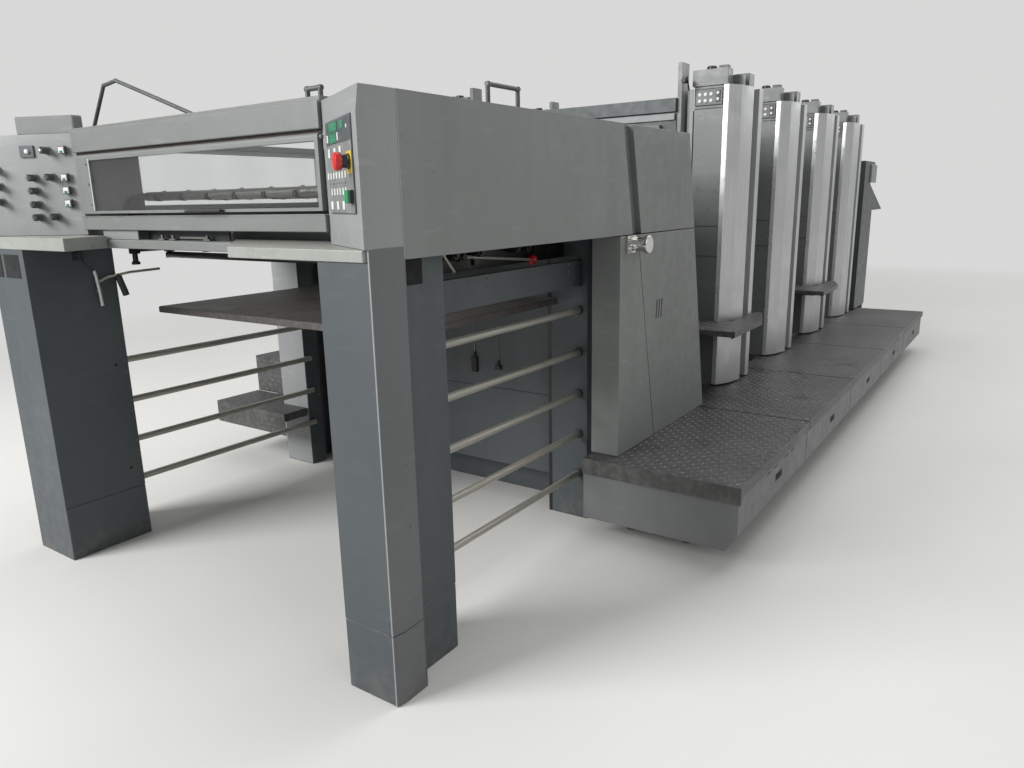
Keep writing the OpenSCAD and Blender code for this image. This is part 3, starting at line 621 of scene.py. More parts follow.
    def piece(
        self,
        name: str,
        finish: Finish,
        slot: Slot,
        body: Body = Body.PRESS,
        bevel: float = 0.0,
        replaces: Sequence[str] = (),
    ) -> Piece:
        """Makes the object and lets it ride on its body.

        Args:
            name: Name of the piece.
            finish: Its finish.
            slot: The record's slot that the finish stands for; not used.
            body: The body that it moves with.
            bevel: Width of the eased edges.
            replaces: CAD nodes that it stands for.

        Returns:
            The object.
        """
        mesh = bpy.data.meshes.new(name)
        mesh.from_pydata([p * MM for p in self.points], [], self.faces)
        work = bmesh.new()
        work.from_mesh(mesh)
        bmesh.ops.recalc_face_normals(work, faces=work.faces)
        work.to_mesh(mesh)
        work.free()
        piece = into_scene(name, mesh)
        mesh.materials.append(finish.make())
        ease_edges(piece, bevel)
        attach(piece, body.value)
        if replaces:
            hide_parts(*replaces)
        LOG.info("piece %s: %d faces", name, len(mesh.polygons))
        return piece


def circle(middle: Vector, side: Vector, cross: Vector, radius: float, count: int) -> list[Vector]:
    """Points of a circle round a middle, in the plane of two unit directions."""
    turns = [math.tau * i / count for i in range(count)]
    return [middle + (side * math.cos(turn) + cross * math.sin(turn)) * radius for turn in turns]


def into_scene(name: str, data: bpy.types.ID) -> Piece:
    """Puts a mesh, a lamp or a camera into the scene.

    Args:
        name: Name of its object.
        data: What the object shows.

    Returns:
        The object.
    """
    item = bpy.data.objects.new(name, data)
    bpy.context.scene.collection.objects.link(item)
    return item


def ease_edges(piece: Piece, bevel: float, limit: float = 35.0) -> None:
    """Shades a piece smooth and eases its sharp edges.

    Args:
        piece: The object.
        bevel: Width of the eased edge in millimetres; 0 keeps the edges sharp.
        limit: Edges that bend by more degrees than this are eased.
    """
    mesh = piece.data
    if "custom_normal" in mesh.attributes:
        mesh.attributes.remove(mesh.attributes["custom_normal"])
    mesh.shade_smooth()
    if bevel:
        cut = piece.modifiers.new("eased_edges", "BEVEL")
        cut.width = bevel * MM
        cut.segments = 2
        cut.limit_method = "ANGLE"
        cut.angle_limit = math.radians(limit)
        cut.harden_normals = True
        cut.use_clamp_overlap = True
    else:
        for polygon in mesh.polygons:
            polygon.use_smooth = False


@dataclass(frozen=True)
class Coat:
    """A finish for some CAD nodes, and how their edges are eased.

    The bevel is in millimetres, and edges that bend by more degrees than the limit get it.
    """

    finish: Finish
    names: Sequence[str]
    bevel: float = 2.0
    limit: float = 35.0


class Assembly:
    """A part of the press: coats for its CAD nodes, and pieces that it adds to them."""

    coats: ClassVar[Sequence[Coat]] = ()

    def dress(self, nodes: dict[str, Piece]) -> None:
        """Gives the part's CAD nodes their finish and eases their edges.

        Args:
            nodes: All nodes of the loaded frame.
        """
        for coat in self.coats:
            for name in coat.names:
                node = nodes[name]
                node.data.materials.clear()
                node.data.materials.append(coat.finish.make())
                joined = node.modifiers.new("joined_corners", "WELD")
                joined.merge_threshold = WELD_REACH
                ease_edges(node, coat.bevel, coat.limit)
                LOG.info("node %s: %s", name, coat.finish.name)

    def build(self) -> None:
        """Builds the pieces; each part has its own way."""
        raise NotImplementedError


@dataclass
class TreadField:
    """Raised lugs of tread plate on a flat field.

    Lugs lie at plus and minus 45 degrees in turn, as on checkered steel plate.
    """

    pitch: float = 24.0
    length: float = 20.0
    width: float = 6.0
    height: float = 1.3
    margin: float = 0.45

    def cover(
        self, shape: Shape, corner: Point, along: Point, across: Point, size: Point, keep: Sequence[Point] | None = None
    ) -> None:
        """Covers a field with lugs.

        Args:
            shape: The shape that takes them.
            corner: One corner of the field.
            along: Unit direction of its length.
            across: Unit direction of its width; the lugs rise along their cross product.
            size: Length and width of the field.
            keep: Outline in the plan that the lugs stay inside, or None.
        """
        faces = [(0, 3, 2, 1), (0, 1, 4), (0, 4, 3), (1, 2, 5), (2, 3, 5), (1, 5, 4), (3, 4, 5)]
        foot, u, v = Vector(corner), Vector(along), Vector(across)
        up = u.cross(v)
        free = [reach - 2 * self.margin * self.length for reach in size]
        columns, rows = (int(reach / self.pitch) + 1 for reach in free)
        start_u = (size[0] - (columns - 1) * self.pitch) / 2
        start_v = (size[1] - (rows - 1) * self.pitch) / 2
        for i in range(columns):
            for j in range(rows):
                centre = foot + u * (start_u + i * self.pitch) + v * (start_v + j * self.pitch)
                if keep is not None and not inside(centre, keep):
                    continue
                turn = math.radians(45 if (i + j) % 2 else -45)
                long = u * math.cos(turn) + v * math.sin(turn)
                wide = up.cross(long)
                tips = [centre - long * self.length / 2, centre + long * self.length / 2]
                sides = [centre - wide * self.width / 2, centre + wide * self.width / 2]
                ridge = [centre - long * self.length / 5, centre + long * self.length / 5]
                low = [p - up * 0.4 for p in (tips[0], sides[0], tips[1], sides[1])]
                high = [p + up * self.height for p in ridge]
                shape.solid(low + high, faces)


def inside(point: Point, outline: Sequence[Point]) -> bool:
    """Tells whether a point lies inside an outline in plan.

    Args:
        point: The point; only X and Y count.
        outline: Corners in order.

    Returns:
        True inside.
    """
    x, y = point[0], point[1]
    found = False
    for i, (x1, y1) in enumerate(outline):
        x0, y0 = outline[i - 1]
        if (y0 > y) != (y1 > y) and x < (x1 - x0) * (y - y0) / (y1 - y0) + x0:
            found = not found
    return found


@dataclass(frozen=True)
class ConsoleFace:
    """The diagonal face of a console: its inner tip and its outer corner in plan."""

    tip: tuple[float, float]
    corner: tuple[float, float]

    def place(self) -> Matrix:
        """Finds the axes of the face.

        Returns:
            Axes with X along the face from its tip, Y into it and Z up.
        """
        run = (Vector(self.corner) - Vector(self.tip)).normalized()
        side = 1 if run.x > 0 else -1
        rows = ((run.x, -run.y * side, 0, self.tip[0]), (run.y, run.x * side, 0, self.tip[1]))
        return Matrix((*rows, (0, 0, 1, 0), (0, 0, 0, 1)))


@dataclass
class ControlConsole(Assembly):
    """Operator side console: key field, displays, stop button.

    Displays and keys are given by left edge, low edge, width and height; rows of keys by left edge, low edge, step,
    count and height.
    """

    coats = (
        Coat(CONSOLE_PAINT, ("control_console",), 2.5),
        Coat(SHELF_PAINT, ("shelf_operator",), 2.5),
    )
    face: ConsoleFace = ConsoleFace((588.3, -3423), (849, -3573))
    left: float = 42.0
    right: float = 266.0
    low: float = 1156.0
    high: float = 1355.0
    displays: tuple[Point, ...] = ((86, 1330, 71, 19), (179, 1331, 35, 16), (88, 1306.5, 58, 19.5))
    keys: tuple[Point, ...] = (
        (65, 1277, 17, 20), (118, 1282, 18, 14), (167, 1277, 16, 20), (60, 1310, 12, 16),
        (156, 1309, 9, 17), (237, 1329, 7, 7), (200, 1205, 9, 7),
        (60, 1165, 18, 18), (115, 1165, 18, 18), (168, 1165, 18, 18),
    )
    rows: tuple[Point, ...] = ((43, 1231, 26.4, 7, 14), (68, 1196, 26.5, 5, 15))
    stop: Point = (246, 0, 1262)

    def build(self) -> None:
        """Builds key field, displays, keys and buttons."""
        place, left, low = self.face.place(), self.left, self.low
        wide, tall = self.right - left, self.high - low
        rim = Shape(place).plates([(left, low, wide, tall)], 2.6, 0.3)
        rim.piece("key_field_rim", SLATE_PLASTIC, Slot.KEYS, bevel=0.6, replaces=["console_keys"])
        field = Shape(place).plates([(left + 2, low + 2, wide - 4, tall - 4)], 3.6, 2)
        field.piece("key_field", GREY_PLASTIC, Slot.KEYS, bevel=0.6)
        zone = Shape(place).plates([(left + 4, 1304, wide - 7, 48)], 4.4, 3)
        zone.piece("display_field", SLATE_PLASTIC, Slot.KEYS, bevel=0.6)
        Shape(place).plates(self.displays, 5.6, 4).piece("displays", LAMP_GREEN, Slot.KEYS, bevel=0.6)
        keys = Shape(place).plates(self.keys, 6, 3)
        for start, height, step, count, high in self.rows:
            keys.plates([(start + i * step, height, 10, high) for i in range(count)], 5.5, 3)
        keys.piece("keys", WHITE_PLASTIC, Slot.KEYS, bevel=0.7)
        marks = Shape(place).plates([(58 + i * 27, 1219, 4, 4) for i in range(6)], 4, 3.4)
        marks.piece("key_marks", BLACK_PLASTIC, Slot.KEYS)
        plate = Shape(place).plates([(226, 1238, 39, 45)], 5.5, 3)
        plate.piece("stop_plate", YELLOW_PLASTIC, Slot.KEYS, bevel=0.8)
        stems = Shape(place).turned([(16, 4), (16, 9), (13.5, 11), (13.5, 24)], self.stop, OUT, 28)
        stems.plates([(233, 1178, 30, 27)], 12, 3)
        stems.piece("button_stems", BLACK_PLASTIC, Slot.KEYS, bevel=0.6)
        cap = [(13, 22), (18, 23), (18.5, 25), (18.5, 33), (17, 36), (10, 37.5), (0.4, 38)]
        Shape(place).turned(cap, self.stop, OUT, 36).piece("stop_button", RED_PLASTIC, Slot.RED, bevel=0.4)
        start_key = Shape(place).plates([(234, 1179, 28, 25)], 17, 11.5)
        start_key.piece("run_button", GREEN_PLASTIC, Slot.KEYS, bevel=1.2)


@dataclass
class SwitchConsole(Assembly):
    """Drive side console: rotary switches and lit buttons in rows.

    Switches and buttons are given by their distance from the console's inner edge and their height.
    """

    coats = (
        Coat(CONSOLE_PAINT, ("switch_console",), 2.5),
        Coat(SHELF_PAINT, ("shelf_drive",), 2.5),
        Coat(PANEL_PAINT, ("switch_hood",), 6.0),
    )
    face: ConsoleFace = ConsoleFace((-535.3, -3423), (-871, -3595))
    knobs: tuple[tuple[float, float], ...] = (
        (96, 1357), (92, 1276), (153, 1275), (154, 1235), (154, 1193), (96, 1154), (154, 1153),
        (280, 1301), (280, 1251), (282, 1203),
    )
    lit: tuple[tuple[float, float], ...] = ((40, 1357), (44, 1274), (44, 1235), (44, 1195))

    def build(self) -> None:
        """Builds switches, lit buttons, lamps and a white spot that paints the highlight on one knob."""
        place = self.face.place()
        rims, knobs, lamps, glow = (Shape(place) for _ in range(4))
        for u, z in self.knobs:
            rims.turned([(13.5, 0.1), (13.5, 3), (12, 5), (9, 5)], (u, 0, z), OUT)
            knobs.turned([(11, 4), (11, 12), (9.5, 14), (9.5, 32), (8, 34), (0.4, 34.5)], (u, 0, z), OUT)
            knobs.plates([(u - 3, z - 10.5, 6, 21)], 36, 14)
        for u, z in self.lit:
            rims.turned([(14, 0.1), (14, 3), (12.5, 5), (9, 5)], (u, 0, z), OUT)
            knobs.plates([(u - 12, z - 12, 24, 24)], 14, 4)
            lamps.plates([(u - 9, z - 9, 18, 18)], 16, 13)
            glow.plates([(u - 5, z - 8, 10, 6)], 17, 15.5)
        knobs.plates([(143, 1338, 48, 36)], 5, 0.1)
        lamps.turned([(7, 4), (7, 10), (5, 12), (0.4, 12)], (164, 0, 1356), OUT)
        # White spot on the tip of one knob: a painted highlight.
        lamps.turned([(4, 33), (4, 36.5), (0.4, 36.8)], (96, 0, 1357), OUT, 12)
        rims.piece("switch_rims", GREY_PLASTIC, Slot.KEYS, bevel=0.5, replaces=["switch_buttons"])
        knobs.piece("switch_knobs", SLATE_PLASTIC, Slot.KEYS, bevel=0.6)
        lamps.piece("switch_lamps_and_highlight", WHITE_PLASTIC, Slot.KEYS, bevel=0.4)
        glow.piece("switch_glow", LAMP_GREEN, Slot.KEYS, bevel=0.3)


@dataclass
class FrontGuard(Assembly):
    """Clear guard that swings out under the header, with its grip."""

    coats = (
        Coat(PANEL_PAINT, ("front_guard",), 1.5),
        Coat(CLEAR, ("guard_pane",), 0.0),
    )
    y: float = -3434.0
    left: float = -527.0
    side: float = 78.0
    grip_z: float = 1166.0

    def build(self) -> None:
        """Adds screws, pane edge and grip."""
        screws = Shape()
        for z in (1190, 1250, 1310):
            screws.bolt((self.left + 62, self.y, z), OUT, 7, 2)
        screws.piece("guard_screws", DULL_STEEL, Slot.GUARD, Body.GUARD)
        edge = self.left + self.side
        strip = Shape().block((edge - 5, self.y - 1, 1172), (edge - 1, self.y + 2, 1326))
        strip.piece("pane_edge", BRIGHT_EDGE, Slot.GUARD, Body.GUARD, bevel=0.4)
        grip, out, z = Shape(), self.y - 16, self.grip_z
        for x in (60, 200):
            grip.rod((x, self.y + 2, z), (x, out, z), 7)
        grip.tube([(52, out, z), (130, out - 1, z), (208, out, z)], 8)
        grip.piece("guard_grip", BLACK_PLASTIC, Slot.GUARD, Body.GUARD)


@dataclass
class DeliveryFront(Assembly):
    """Header, sill and cross beam of the delivery, with their covers."""

    coats = (
        Coat(PANEL_PAINT, ("front_header", "front_sill", "sheet_tray", "roof_cover"), 3.0),
        Coat(SLATE_PLASTIC, ("roof_handles",), 0.0),
    )
    y: float = -3434.0

    def build(self) -> None:
        """Adds a dark strip that paints the header's shadow line, edges and the works on the beam."""
        y = self.y
        # Dark rubber strip under the header: painted shadow line under the header.
        seal = Shape().block((-533, y + 14, 1339), (586, y + 34, 1346.8))
        seal.piece("header_shadow_strip", RUBBER, Slot.PANEL)
        edge = Shape().block((-534, y - 1, 1151), (587, y + 2, 1154.5))
        edge.piece("sill_edge", DULL_STEEL, Slot.PANEL, bevel=0.5)
        plate = Shape().block((-440, y + 10, 1084), (-245, y + 14, 1111.5))
        plate.piece("tray_plate", CONSOLE_PAINT, Slot.PANEL, bevel=0.6)
        back = Shape().block((-245, y + 44, 1083.3), (150, y + 50, 1111.6))
        back.block((50, -3305, 1083.3), (590, -3300.4, 1111.6))
        back.piece("tray_back", DARK_PAINT, Slot.PANEL)
        works = Shape()
        for x in (-150, -95, 70):
            works.rod((x, y + 30, 1085), (x, y + 30, 1099), 9)
            works.block((x - 15, y + 25, 1084), (x + 15, y + 35, 1088))
        works.block((-70, y + 34, 1088), (60, y + 40, 1094))
        works.piece("tray_works", DULL_STEEL, Slot.STEEL, bevel=0.5)


@dataclass
class DeliveryWorks(Assembly):
    """Gripper chains, bars, smoothing rollers and sheet guides behind the clear guard."""

    coats = (
        Coat(OILED_IRON, ("gripper_chains",), 2.0),
        Coat(DULL_STEEL, ("gripper_bars",), 0.0),
        Coat(RUBBER, ("pull_rollers",), 0.0),
        Coat(CLEAR, ("drive_window",), 0.0),
    )
    plate_x: float = 566.0
    y0: float = -3199.0
    y1: float = -2160.0
    link: float = 25.0
    runs: tuple[float, float] = (1107.0, 1213.0)
    bar_y: tuple[float, ...] = (-3184, -2924, -2664, -2404)
    roller_y: tuple[float, ...] = (-3054, -2814, -2574)

    def build(self) -> None:
        """Builds what shows through the panes."""
        chain, fingers, collars, guides = (Shape() for _ in range(4))
        for x in (5 - self.plate_x, self.plate_x - 5):
            for z in self.runs:
                for i in range(int((self.y1 - self.y0) / self.link)):
                    y = self.y0 + 12 + i * self.link
                    chain.block((x - 3, y - 11, z - 6), (x + 3, y + 11, z + 6))
                    chain.rod((x - 6, y + 12.5, z), (x + 6, y + 12.5, z), 9, 10)
        chain.piece("chain_links", DULL_STEEL, Slot.DARK)
        for y in self.bar_y:
            for z in self.runs:
                tip = [(y - 20, z + 4), (y + 16, z + 19), (y + 22, z + 12), (y - 2, z - 17), (y - 22, z - 15)]
                for x in range(-490, 491, 140):
                    fingers.drawn(tip, Axis.X, x - 6, x + 6)
        fingers.piece("gripper_fingers", OILED_IRON, Slot.STEEL, bevel=0.8)
        for y in self.roller_y:
            for x in range(-475, 476, 190):
                collars.rod((x - 12, y, 1105), (x + 12, y, 1105), 48, 28, 2)
        collars.piece("sheet_collars", RUBBER, Slot.RUBBER)
        start, end = self.y0 + 20, self.y1 - 60
        for x in (-420, -140, 140, 420):
            guides.block((x - 6, start, 1068), (x + 6, end, 1076))
            guides.drawn([(start, 1076), (start + 24, 1076), (start, 1104)], Axis.X, x - 5, x + 5)
        for y in (start + 20, end - 60):
            guides.block((-self.plate_x, y, 1062), (self.plate_x, y + 40, 1069))
        guides.piece("sheet_guides", DULL_STEEL, Slot.DARK, bevel=0.8)


@dataclass
class FrontColumns(Assembly):
    """The two front columns: inserts, seams, the release levers on them and screws."""

    coats = (
        Coat(COLUMN_PAINT, ("front_column_operator", "front_column_drive", "rear_columns"), 2.5),
        Coat(COLUMN_PAINT, ("delivery_frames",), 2.0),
    )
    drive_front: float = -3588.0
    drive_inner: float = -627.0
    operator_front: float = -3558.0
    kick: float = 188.0
    shelf_low: float = 1056.0
    shelf_top: float = 1084.5

    def build(self) -> None:
        """Adds inserts, panels, levers, holes and screws."""
        front = self.drive_front
        inserts = Shape()
        for x0, x1 in ((-760, -660), (-862, -781)):
            inserts.block((x0, front - 1.5, 966), (x1, front + 1, 1040))
        inserts.block((806, -3405, 993), (810, -3352, 1052))
        inserts.piece("column_inserts", HOLE_BLACK, Slot.COLUMN, bevel=0.8)
        self.panels()
        self.levers()
        marks, screws, wall = Shape(), Shape(), self.drive_inner
        for z in (645, 266):
            marks.turned([(5, -0.5), (5, 0.6), (0.3, 0.7)], (wall, -3349, z), SIDE, 16)
        marks.piece("column_holes", HOLE_BLACK, Slot.COLUMN)
        for z in (655, 612, 510, 470, 360, 322):
            screws.bolt((wall, -3314, z), SIDE, 5, 1)
        screws.bolt((638, -3320, 1010), (-1, 0, 0), 8, 2)
        screws.piece("column_screws", DULL_STEEL, Slot.COLUMN)

    def panels(self) -> None:
        """Puts front plate, a light edge strip that paints the highlight on the column's corner, and a side panel
        darkened for painted shade on the operator side column, above and below its seam.
        """
        front, back = self.operator_front, -3459.2
        plate, panel, edge = Shape(), Shape(), Shape()
        outer = [(848.6, front - 2), (854.4, front + 30), (854.4, back)]
        inner = [(850, back), (850, front + 30), (845, front + 2)]
        for low, high in ((3, self.kick - 1), (self.kick + 2, self.shelf_top)):
            plate.block((699, front - 1.2, low), (844.4, front + 2, min(high, self.shelf_low)))
            panel.drawn(outer + inner, Axis.Z, low, high)
            # Light strip on the column's corner: a painted highlight along that edge.
            edge.block((844.4, front - 3, low), (848.6, front + 0.6, high))
        plate.piece("column_front_plate", COLUMN_PAINT, Slot.COLUMN, bevel=0.6)
        # The side panel takes the darkened finish: painted shade on that side.
        panel.piece("column_side_panel", SHADED_COLUMN_SIDE, Slot.COLUMN, bevel=0.6)
        edge.piece("column_edge_highlight", PAINTED_LIGHT_GREY, Slot.COLUMN, bevel=0.8)

    def levers(self) -> None:
        """Builds the paddle on the drive side column and the bent rod behind it."""
        wall = self.drive_inner
        x = wall + 11
        arm, paddle = Shape(), Shape()
        arm.block((wall, -3440, 1014), (wall + 3, -3406, 1048))
        arm.rod((wall, -3423, 1031), (wall + 15, -3423, 1031), 22)
        arm.tube([(x, -3426, 1033), (x + 2, -3420, 1008), (x + 3, -3403, 989), (x + 3, -3382, 972)], 10)
        arm.tube([(x + 4, -3305, 952), (x + 6, -3300, 930), (x + 8, -3292, 900), (x + 8, -3288, 884)], 22)
        arm.rod((wall, -3305, 950), (x + 6, -3305, 950), 14)
        arm.piece("paddle_arm", DARK_PAINT, Slot.COLUMN)
        paddle.tube([(x + 3, -3384, 976), (x + 3, -3380, 960), (x + 2, -3374, 905), (x + 1, -3371, 856)], 12)
        paddle.rod((wall, -3374, 905), (x, -3374, 905), 7)
        paddle.piece("paddle_handle", SILVER_COAT, Slot.STEEL)
        bends = [(wall, -3372, 930), (x, -3368, 938), (x, -3340, 950), (x, -3260, 960), (x, -3150, 963)]
        Shape().tube(bends, 9).piece("bent_rod", STEEL_ROD, Slot.STEEL)


@dataclass
class PileSpace(Assembly):
    """Rails, side beams, pile board and what hangs on the wall behind them."""

    coats = (
        Coat(STEEL_ROD, ("guard_rails",), 0.0),
        Coat(UNIT_PAINT, ("side_beams",), 1.2),
        Coat(UNIT_PAINT, ("delivery_body",), 2.0),
        Coat(OILED_IRON, ("lift_guides",), 1.0),
        Coat(BOARD_STEEL, ("pile_board",), 1.5),
    )
    rail_x: tuple[float, float] = (660.0, -673.2)
    rail_z: tuple[float, ...] = (180, 333, 486, 639, 792)
    drive_z: tuple[float, ...] = (204, 352, 500, 648)
    y_end: float = -2351.3
    wall_y: float = -2329.0

    def build(self) -> None:
        """Adds sockets, screws, a light facing that paints the light on the post's front face, planks and weights."""
        sockets, screws, planks = Shape(), Shape(), Shape()
        ring = [(17, 0), (17, 5), (15, 7), (11.6, 7)]
        for z in self.rail_z:
            sockets.turned(ring, (self.rail_x[0], -3274.7, z), BACK)
            sockets.turned(ring, (self.rail_x[0], self.y_end, z), OUT)
        for z in self.drive_z:
            sockets.turned(ring, (self.rail_x[1], -3304.7, z), BACK)
            sockets.block((-685, -2470, z - 15), (-682, -2444, z + 15))
        sockets.piece("rail_sockets", FRAME_PAINT, Slot.STEEL)
        for y, z in ((-2447, 961), (-2447, 935), (-2996, 956), (-2910, 956), (-2910, 934)):
            screws.bolt((674, y, z), SIDE, 8, 2.5)
        for z in (611, 320):
            screws.bolt((-685, -2402, z), SIDE, 9, 1)
        screws.piece("beam_screws", DULL_STEEL, Slot.COLUMN)
        # Light facing on the drive rear post's front face: painted light falling on that face.
        facing = Shape().block((-854, -2476.6, 4), (-686, -2474.6, 1056))
        facing.piece("lit_post_facing", PAINTED_LIGHT_GREY, Slot.COLUMN, bevel=0.8)
        for i in range(11):
            x = -583 + i * 106.3
            planks.block((x, -3188, 831.5), (x + 103, -2373, 834))
        planks.piece("board_planks", BOARD_STEEL, Slot.TREAD, Body.BOARD, bevel=0.8)
        self.weights()
        seam = Shape().block((-540, self.wall_y + 1.5, 452), (540, self.wall_y + 4, 455))
        seam.piece("wall_seams", DARK_PAINT, Slot.PANEL)

    def weights(self) -> None:
        """Hangs the two small weights on their wires before the wall."""
        y = self.wall_y
        wires, weights = Shape(), Shape()
        for x, low, high, top in ((170, 509, 590, 700), (285, 530, 566, 700)):
            wires.rod((x, y, high), (x, y, top), 2.5, 8)
            wires.rod((x, y, top), (x, y + 5, top), 6, 10)
            weights.block((x - 13, y - 9, low), (x + 13, y + 3, high - 18))
            weights.block((x - 5, y - 5, high - 18), (x + 5, y + 2, high))
        wires.piece("weight_wires", DULL_STEEL, Slot.DARK)
        weights.piece("wall_weights", OILED_IRON, Slot.DARK, bevel=1.0)


@dataclass
class ReleaseLever(Assembly):
    """Lever with a red ball under the operator side frame, and the works beside it."""

    x: float = 615.0
    y: float = -2960.0
    z: float = 1022.0
    length: float = 380.0
    tilt: float = 5.5
    ceiling: float = 1056.6
    far_x: float = -604.0

    def build(self) -> None:
        """Builds the lever, the works round it and its strut."""
        fall = math.radians(self.tilt)
        way = Vector((0, math.cos(fall), -math.sin(fall)))
        foot = Vector((self.x, self.y, self.z))
        lever = Shape().turned([(8, -6), (8, 20), (6, 26), (5, 40), (5, self.length - 8)], foot, way)
        lever.piece("release_rod", STEEL_ROD, Slot.STEEL, replaces=["release_lever"])
        Shape().ball(foot + way * self.length, 34).piece("release_ball", RED_PLASTIC, Slot.RED, bevel=0.3)
        self.works()
        strut = Shape().rod((640, -3068, 1034), (640, -3022, 984), 7)
        strut.rod((600, -3068, 1034), (644, -3068, 1034), 10)
        strut.piece("gas_strut", STEEL_ROD, Slot.STEEL)

    def works(self) -> None:
        """Builds the lever's hub and the dark shafts, blocks and rollers under the frames on both sides."""
        hub, top = Shape(), self.ceiling
        hub.block((self.x - 9, self.y - 15, self.z - 13), (self.x + 9, self.y + 15, top))
        hub.rod((self.x - 16, self.y, self.z), (self.x + 16, self.y, self.z), 20)
        hub.block((556, -3236, 978), (598, -2352, top))
        for y, low in ((-3120, 1000), (-2850, 990), (-2520, 1006), (-2440, 996)):
            hub.block((598, y - 34, low), (606, y + 34, 1050))
        for y in (-3150, -3010, -2890, -2700, -2640):
            hub.rod((590, y, 1030), (640, y, 1030), 26)
            hub.rod((640, y, 1030), (646, y, 1030), 15)
        x = self.far_x
        hub.rod((x, -3250, 1040), (x, -2500, 1040), 26)
        for y, low in ((-3240, 985), (-3110, 1000), (-2960, 1010), (-2790, 992), (-2620, 1006)):
            hub.block((x - 14, y - 13, 1022), (x + 14, y + 13, top))
            hub.rod((x, y, low), (x, y, 1030), 18)
            hub.turned([(14, 0), (14, 8), (9, 12), (9, 26)], (x, y, low), UP)
        hub.rod((-598, -3120, 1012), (600, -3120, 1012), 22)
        hub.piece("lever_works", OILED_IRON, Slot.DARK, bevel=1.0)


@dataclass
class SideCovers(Assembly):
    """Covers and cabinets on both sides of the delivery."""

    coats = (
        Coat(PANEL_PAINT, ("side_cover_operator", "rear_cover_operator", "side_cover_drive"), 2.5),
        Coat(PANEL_PAINT, ("cabinet_operator", "cabinet_door"), 2.5),
        Coat(PANEL_PAINT, ("cabinet_drive",), 3.0),
    )
    lean: float = 0.225
    seam_y: float = -2404.0
    seam_top: float = 1406.0
    seam_low: float = 1057.0
    lock_y: float = -2317.0
    lock_z: float = 1023.0
    cabinet_x: float = -978.0

    def build(self) -> None:
        """Adds the band in the seam, a light strip that paints the highlight at the console's seam, the lock, the
        vent's back and the cabinet's doors.
        """
        y, top, low = self.seam_y, self.seam_top, self.seam_low
        shift = self.lean * (top + 2 - low)
        outline = [(y - 4, top), (y + 69, top), (y + 69 + shift, low), (y - 4 + shift, low)]
        Shape().drawn(outline, Axis.X, 814, 833).piece("seam_band", TOWER_PAINT, Slot.PANEL)
        # Thin light strip at the console's seam: a painted highlight along that edge.
        strip = Shape().block((851.0, -3459.6, 1062), (853.8, -3456.4, 1403))
        strip.piece("console_seam_highlight", PAINTED_LIGHT_GREY, Slot.PANEL, bevel=0.5)
        self.lock()
        vent = Shape().block((847, -2150, 736), (847.6, -2040, 818))
        vent.piece("vent_back", HOLE_BLACK, Slot.PANEL)
        self.cabinet()

    def lock(self) -> None:
        """Builds the silver lock on the seam."""
        y, z = self.lock_y, self.lock_z
        lock = Shape().block((853, y - 62, z - 26), (861.6, y, z + 30))
        knob = [(25, 0), (25, 6), (23, 8), (23, 30), (27, 32), (27, 38), (30, 40), (30, 50), (28, 52), (0.5, 52)]
        lock.turned(knob, (853, y + 16, z), SIDE, 40)
        for rise in (-14, 18):
            lock.bolt((861.4, y - 48, z + rise), SIDE, 13, 6)
        lock.rod((861, y - 22, z - 8), (873, y - 22, z - 8), 18, 24, 2)
        lock.piece("seam_lock", CHROME, Slot.STEEL, bevel=0.8, replaces=["cover_boss"])

    def cabinet(self) -> None:
        """Builds doors, pulls and grilles of the drive side cabinet."""
        x = self.cabinet_x
        doors, pulls, grille = Shape(), Shape(), Shape()
        for y in (-2330, -2070):
            doors.block((x, y, 60), (x + 4, y + 250, 1010))
        doors.piece("drive_cabinet_doors", PANEL_PAINT, Slot.LIGHT, bevel=1.5)
        for y in (-2092, -2058):
            for z in (560, 640):
                pulls.rod((x, y, z), (x - 12, y, z), 8)
            pulls.rod((x - 12, y, 554), (x - 12, y, 646), 9)
        pulls.piece("cabinet_pulls", CHROME, Slot.STEEL)
        for y in (-2300, -2040):
            for z in range(130, 307, 16):
                grille.drawn([(x, z), (x - 4, z + 2), (x - 4, z + 8), (x, z + 10)], Axis.Y, y, y + 190)
        grille.piece("cabinet_grilles", DARK_PAINT, Slot.LIGHT)


